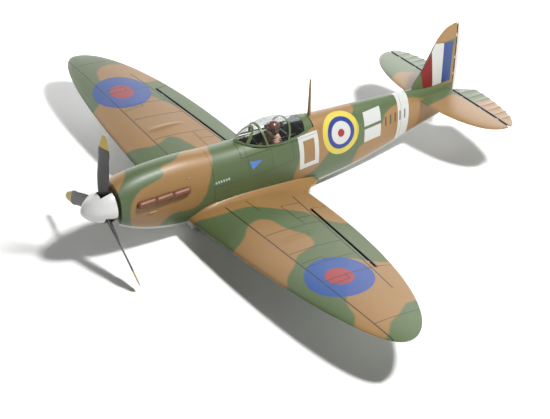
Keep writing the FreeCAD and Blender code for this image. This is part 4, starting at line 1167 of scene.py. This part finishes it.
def make_pilot():
    """The pilot's head, body and headrest."""
    helmet = Shape()
    ball(helmet, HEAD + (0, 1.2, 0.6), (9.0, 9.6, 9.8), 40, 56)
    for side in (-1, 1):
        ball(helmet, HEAD + (side * 8.6, 1.0, -1.8), (1.9, 3.6, 4.0), 16, 24, part=0.5)
        ball(helmet, HEAD + (side * 3.6, -8.4, 3.2), (3.1, 1.7, 2.3), 16, 24, part=1.0)
    ring = np.linspace(0, 2 * math.pi, 72, endpoint=False)
    strap = []
    for width, swell in ((-1.1, 0.0), (-1.1, 0.55), (1.1, 0.55), (1.1, 0.0)):
        strap.append(HEAD + np.stack([(9.05 + swell) * np.cos(ring), 1.2 + (9.6 + swell) * np.sin(ring),
                                      3.2 + width + 0.1 * np.sin(ring)], -1))
    strap = np.array(strap).transpose(1, 0, 2)
    strap = np.concatenate([strap, strap[:1]])
    helmet.grid(strap, closed=True, part=np.full(strap.shape[:2], 0.8))
    ball(helmet, HEAD + (0, -2.8, -2.6), (6.3, 6.6, 6.8), 26, 34, part=2.0)
    ball(helmet, HEAD + (0, -9.1, -2.2), (1.1, 1.3, 1.7), 12, 16, part=2.0)
    helmet.build("pilot_head_skin", "hatch", helmet_paint(), ("pilot_head",), sharp=60)
    dress = Shape()

    def slope(points):
        lift = np.clip((points[..., 2] - 82) / 16, 0, 1)
        points[..., 0] *= 1 - 0.42 * lift**1.6
        return points

    ball(dress, (0, 93.0, 86.5), (14.5, 8.2, 13.0), 30, 44, slope, 2.4)
    for side in (-1, 1):
        ball(dress, (side * 12.0, 88.0, 87.5), (4.2, 5.6, 7.5), 18, 24, None, 2.2)
        ball(dress, (side * 9.6, 79.5, 83.0), (3.4, 8.0, 3.6), 16, 22)
    turn = np.linspace(0, 2 * math.pi, 40, endpoint=False)
    across, ahead = np.cos(turn), np.sin(turn)
    collar = np.array([np.stack([radius * across, 90.0 + radius * ahead, height - 0.9 * ahead], -1)
                       for radius, height in COLLAR])
    dress.grid(collar, closed=True, part=np.full(collar.shape[:2], 1.0))
    dress.build("pilot_body_skin", "hatch", dress_paint(), ("pilot_body",), sharp=60)
    rest = Shape()
    for side in (-1, 1):
        ball(rest, (side * 12.6, 104.0, 97.0), (0.9, 15.0, 1.1), 12, 20)
    ball(rest, (0, 103.0, 108.0), (5.4, 2.0, 5.0), 20, 30, None, 3.0)
    rest.build("headrest", "hatch", plain("headrest_leather", linear(58, 44, 34), 0.5))


LEATHER = (linear(84, 44, 34), linear(122, 74, 58))
RUBBER = (linear(40, 34, 30), linear(60, 52, 46))
FACE = (linear(206, 158, 128), linear(226, 182, 152))
CLOTH = (linear(176, 128, 104), linear(216, 172, 146))
SCARF = (linear(214, 188, 156), linear(236, 214, 186))
GLASS_TINT = (linear(176, 186, 184), linear(206, 212, 210))


def helmet_paint():
    """Leather, with the goggles, strap and face told apart by their part number."""
    paint = Paint("helmet_leather", 0.3)
    part = paint.attribute("part")
    creases = paint.noise(120.0, 5.0)
    leather, rubber, face = (paint.mix(creases, *tones) for tones in (LEATHER, RUBBER, FACE))
    colour = paint.mix(paint.step(part, 0.6, 0.7), leather, rubber)
    colour = paint.mix(paint.step(part, 1.4, 1.6), colour, face)
    paint.emboss(creases, 0.0001, 0.6)
    return paint.finish(colour, 60.0, 0.2, 0.2)


def dress_paint():
    """Woven cloth in dusty pink with a paler scarf."""
    paint = Paint("flying_dress")
    folds = paint.noise(70.0, 4.0)
    cloth, scarf = (paint.mix(folds, *tones) for tones in (CLOTH, SCARF))
    colour = paint.mix(paint.step(paint.attribute("part"), 0.4, 0.6), cloth, scarf)
    paint.emboss(paint.noise(1400.0, 2.0), 0.0001, 0.6)
    paint.emboss(folds, 0.0006, 0.8)
    return paint.finish(colour, 300.0, 0.12, 0.76)


# Canopy stations: y, top, half width, as the frame's.
CANOPY = [
    (25.0, 108.6, 10.0),
    (34.0, 112.2, 15.5),
    (44.0, 117.4, 19.2),
    (54.0, 121.8, 21.4),
    (66.0, 124.8, 22.8),
    (82.0, 125.8, 23.4),
    (98.0, 122.8, 23.2),
    (112.0, 117.8, 22.6),
    (130.0, 113.0, 21.6),
    (143.0, 111.0, 20.4),
]
CANOPY_BASE = 88.0
PANES = {
    "windscreen_glass": ([(26.4, 90), (26.4, 130)], [(68.0, 92), (59.5, 130)]),
    "hood_glass": ([(68.0, 92), (59.5, 130)], [(98.0, 92), (109.0, 124)]),
    "rear_glass": ([(98.0, 92), (109.0, 124)], [(126.5, 92), (134.0, 120)]),
}
PANE_INSET = 0.15
PANE_THICKNESS = 0.5
PANE_ROWS = 40
PANE_COLUMNS = 72
PANE_END = 0.02
SILL_GAP = 0.3


def make_glass(material):
    """Smooth panes between sloping edges given as (y, z) pairs."""
    share = np.linspace(0, 1, PANE_ROWS)[:, None]
    turn = np.linspace(PANE_END, math.pi - PANE_END, PANE_COLUMNS)[None, :]
    for name, (front, rear) in PANES.items():
        slope = [(b[0] - a[0]) / (b[1] - a[1]) for a, b in (front, rear)]
        y = np.full((PANE_ROWS, PANE_COLUMNS), 70.0)
        for _ in range(30):
            top = smooth_curve(CANOPY, 1, y) - PANE_INSET
            half = smooth_curve(CANOPY, 2, y) - PANE_INSET
            sill = np.interp(y, *zip(*SILL)) + SILL_GAP
            z = np.maximum(CANOPY_BASE + (top - CANOPY_BASE) * power(np.sin(turn), 2 / FULLNESS), sill)
            start = front[0][0] + slope[0] * (z - front[0][1])
            end = rear[0][0] + slope[1] * (z - rear[0][1])
            y = 0.5 * y + 0.5 * (start + share * (end - start))
        reach = 1 - np.clip((z - CANOPY_BASE) / (top - CANOPY_BASE), 0, 1) ** FULLNESS
        x = np.where(z <= sill + 1e-6, np.sign(np.cos(turn)) * half * reach ** (1 / FULLNESS),
                     half * power(np.cos(turn), 2 / FULLNESS))
        outer = np.stack([x, y, z], -1)
        inner = outer - PANE_THICKNESS * np.stack([np.cos(turn) + 0 * x, 0 * x, 1 + 0 * x], -1)
        pane = Shape()
        double_skin(pane, outer, inner, quads(*x.shape, False), {})
        pane.build(name + "_pane", "hatch", material, (name,), sharp=50, weld=0.004)


# The cowl's moulded bumps: where they start, length, height and radius.
BUMPS = [(-121.0, 14.0, 64.5, 1.7), (-61.0, 9.0, 94.0, 1.2)]
ALL_BROWN = 9.0


def make_nose_details(material):
    """The small bumps moulded on each side of the cowl."""
    bumps = Shape()
    for side in (-1, 1):
        for start, length, height, radius in BUMPS:
            place = np.array([start + length / 2])
            skin = hull_point(place, hull_angle(place, height))[0]
            radii = (radius, length / 2, 0.8 * radius)
            ball(bumps, skin * (side, 1, 1), radii, 14, 26, None, 2.6, brown=ALL_BROWN)
    bumps.build("cowl_bumps", "airframe", material)


def plain(name, colour, roughness, metallic=0.0, coat=0.0, grain=300.0, tone=0.12, relief=0.00008):
    """Moulded or machined finish with slight mottling and grain."""
    paint = Paint(name, coat, metallic)
    darker = tuple(0.75 * part for part in colour)
    mottled = paint.mix(paint.step(paint.noise(28.0, 4.0), 0.35, 0.7), colour, darker)
    paint.emboss(paint.noise(grain), relief, 0.5)
    return paint.finish(paint.mix(tone, colour, mottled), 70.0, 0.14, roughness - 0.07)


def clear_paint():
    """A clear pane that shows more at its rounded sides."""
    paint = Paint("clear_canopy")
    rim = paint.node("LayerWeight", {"Blend": 0.2}).outputs["Fresnel"]
    paint.shade({"Specular IOR Level": 0.35, "Alpha": paint.math("MULTIPLY_ADD", rim, 0.4, 0.01)})
    tint = paint.mix(paint.noise(20.0), *GLASS_TINT)
    return paint.finish(tint, 50.0, 0.05, 0.02)


make_pilot()
make_glass(clear_paint())
make_nose_details(plain_wing)


SEAL_HALF = 1.5
SEAL_THICK = 0.2
ELEVATOR_SEAL = (23.2, 128.0)
RUDDER_SEAL = (88.0, 176.0)
AILERON_SEAL = (AILERON_ROOT[0] + 1.5, AILERON_TIP[0] - 0.5)


def make_gap_shade_seals():
    """Black strips that close the hinge gaps and stand in for the shade inside them, thin enough to leave the
    surfaces free.
    """
    seals = Shape()

    def strip(start, end, through):
        across = np.array([0, SEAL_HALF, 0])
        corners = [a * across + b * np.array(through) for a, b in ((-1, -1), (1, -1), (1, 1), (-1, 1))]
        line = np.array(start) + np.linspace(0, 1, 30)[:, None, None] * (np.array(end) - np.array(start))
        seals.grid(line + np.array(corners)[None], closed=True, caps=True)

    for side in (-1, 1):
        inner, outer = [(side * x, TAIL_AXIS, TAIL_LEVEL) for x in ELEVATOR_SEAL]
        strip(inner, outer, (0, 0, SEAL_THICK))
        ends = []
        for x, y in zip(AILERON_SEAL, (AILERON_ROOT[1], AILERON_TIP[1])):
            ends.append(sum(wing_point(np.array(x), np.array(y), upper, side) for upper in (True, False)) / 2)
        strip(*ends, (0, 0, SEAL_THICK))
    inner, outer = [(0, RUDDER_AXIS, z) for z in RUDDER_SEAL]
    strip(inner, outer, (SEAL_THICK, 0, 0))
    # Painted shade: the strips are black so that the gaps read as shaded.
    seals.build("gap_shade_seals", "airframe", plain("gap_shade", BLACK, 0.7))


make_gap_shade_seals()

BLADE_GREY = linear(66, 66, 68)
BLADE_DARK = linear(54, 54, 57)
TIP_YELLOW = linear(214, 182, 54)
TIP_START = (92.4, 93.2)
MAST_BROWN = linear(150, 116, 74)


def blade_paint():
    """Grey blades with yellow tips beyond a distance from the shaft."""
    paint = Paint("blade_paint", 0.2)
    x, _, z = paint.axes
    rise = paint.math("SUBTRACT", z, THRUST)
    squares = [paint.math("MULTIPLY", value, value) for value in (x, rise)]
    reach = paint.math("SQRT", paint.math("ADD", *squares))
    base = paint.mix(paint.step(paint.noise(60.0, 4.0), 0.3, 0.7), BLADE_GREY, BLADE_DARK)
    base = paint.mix(paint.step(reach, *TIP_START), base, TIP_YELLOW)
    paint.emboss(paint.noise(260.0), 0.00006, 0.5)
    return paint.finish(base, 40.0, 0.2, 0.28)


# Finishes of the CAD's own pieces by node or slot: colour, roughness and whatever else they have.
FINISHES = {
    "canopy_frame": (GREEN, 0.45, {}),
    "antenna_mast": (MAST_BROWN, 0.5, {}),
    "pale_foam": (SKY, 0.5, {"grain": 420.0}),
    "brown_metal_paint": (linear(128, 84, 58), 0.5, {"metallic": 0.2, "coat": 0.05}),
    "white_spinner": (linear(240, 240, 238), 0.2, {"coat": 0.6, "grain": 120.0, "relief": 0.00002}),
    "black_plastic": (linear(34, 34, 36), 0.42, {}),
    "white_nylon": (linear(226, 226, 220), 0.5, {}),
    "steel_wire": (linear(180, 180, 184), 0.3, {"metallic": 1.0}),
    "aluminium": (linear(190, 190, 195), 0.32, {"metallic": 1.0}),
    "carbon": (linear(28, 28, 30), 0.3, {"coat": 0.4}),
    "plywood": (linear(206, 176, 128), 0.6, {"tone": 0.5}),
    "cockpit_green": (linear(44, 54, 38), 0.55, {}),
    "battery_wrap": (linear(30, 50, 100), 0.3, {"coat": 0.4}),
}
finishes = {"grey_blade": blade_paint()}
for row in frame["record"]["subparts"]:
    node = frame["nodes"][row["node"]]
    if node.hide_render:
        continue
    name = row["node"] if row["node"] in FINISHES else row["material_slot"]
    if name not in finishes:
        colour, roughness, rest = FINISHES[name]
        finishes[name] = plain(name, colour, roughness, **rest)
    node.data.materials.clear()
    node.data.materials.append(finishes[name])

# ---------------------------------------------------------------- floor, light and camera

CENTRE = (0.0, 0.1, 0.05)
FLOOR_LEVEL = -0.0006
FLOOR_REACH = 12.0
GLOW_REACH = (0.2, 1.2)
SHADE_CENTRE = (0.16, 0.02, 0.0)


def floor():
    """A white sweep with painted light: it glows more the farther it is from the model, so shadows far from
    its shade centre come out lighter.
    """
    mesh = bpy.data.meshes.new("floor")
    signs = ((-1, -1), (1, -1), (1, 1), (-1, 1))
    mesh.from_pydata([(x * FLOOR_REACH, y * FLOOR_REACH, FLOOR_LEVEL) for x, y in signs], [], [(0, 1, 2, 3)])
    sheet = bpy.data.objects.new("floor", mesh)
    bpy.context.scene.collection.objects.link(sheet)
    paint = Paint("floor")
    tone = paint.mix(paint.noise(3.0), (0.9, 0.905, 0.895), (0.93, 0.93, 0.92))
    # Painted light: emission that rises with distance from the shade centre lightens the far shadows.
    gap = paint.node("VectorMath", {0: paint.place, 1: SHADE_CENTRE}, operation="DISTANCE").outputs["Value"]
    painted_glow = paint.step(gap, *GLOW_REACH)
    paint.shade({"Base Color": tone, "Roughness": 0.7, "Specular IOR Level": 0.15,
                 "Emission Color": (1, 1, 1), "Emission Strength": painted_glow})
    mesh.materials.append(paint.material)


def area_light(name, place, aim, size, power_watts):
    data = bpy.data.lights.new(name, "AREA")
    data.shape = "RECTANGLE"
    data.size, data.size_y = size
    data.energy = power_watts
    lamp = bpy.data.objects.new(name, data)
    bpy.context.scene.collection.objects.link(lamp)
    lamp.location = place
    lamp.rotation_mode = "QUATERNION"
    lamp.rotation_quaternion = (Vector(aim) - Vector(place)).to_track_quat("-Z", "Y")
    lamp.visible_camera = False
    return lamp


def studio_walls(horizon, zenith):
    """Surroundings that are bright near the horizon and dim overhead."""
    world = bpy.data.worlds.new("studio")
    world.use_nodes = True
    tree = world.node_tree
    direction = add_node(tree, "TexCoord", {}).outputs["Generated"]
    height = add_node(tree, "SeparateXYZ", {0: direction}).outputs["Z"]
    ends = {"From Min": 0.05, "From Max": 0.75, "To Min": horizon, "To Max": zenith}
    ramp = add_node(tree, "MapRange", {"Value": height, **ends}, interpolation_type="SMOOTHSTEP")
    back = tree.nodes["Background"].inputs
    connect(tree, (1, 1, 1), back["Color"])
    connect(tree, ramp.outputs["Result"], back["Strength"])
    bpy.context.scene.world = world


floor()
studio_walls(horizon=0.34, zenith=0.03)
area_light("key", (0.72, 0.5, 1.45), CENTRE, (0.22, 0.22), 36)
area_light("fill", (-1.6, -0.3, 0.9), CENTRE, (0.9, 0.9), 8)

# This wall only shows in reflections.
area_light("wall", (-1.9, 1.7, 1.0), (0.0, 0.0, 1.0), (5.0, 2.0), 85).visible_diffuse = False

EYE = Vector((1.26190, -0.80924, 1.03761))
AIM = Vector((-0.23928, 0.26780, -0.22762))
ROLL = math.radians(1.513)
camera_data = bpy.data.cameras.new("camera")
camera_data.sensor_width = 36.0
camera_data.lens = 88.73
camera_data.clip_start = 0.01
camera = bpy.data.objects.new("camera", camera_data)
bpy.context.scene.collection.objects.link(camera)
forward = (AIM - EYE).normalized()
right = forward.cross(Vector((0, 0, 1))).normalized()
up = right.cross(forward)
turned_right = math.cos(ROLL) * right + math.sin(ROLL) * up
turned_up = math.cos(ROLL) * up - math.sin(ROLL) * right
turn = Matrix((turned_right, turned_up, -forward)).transposed()
camera.matrix_world = Matrix.Translation(EYE) @ turn.to_4x4()
bpy.context.scene.camera = camera
bpy.context.scene.view_settings.view_transform = "Standard"
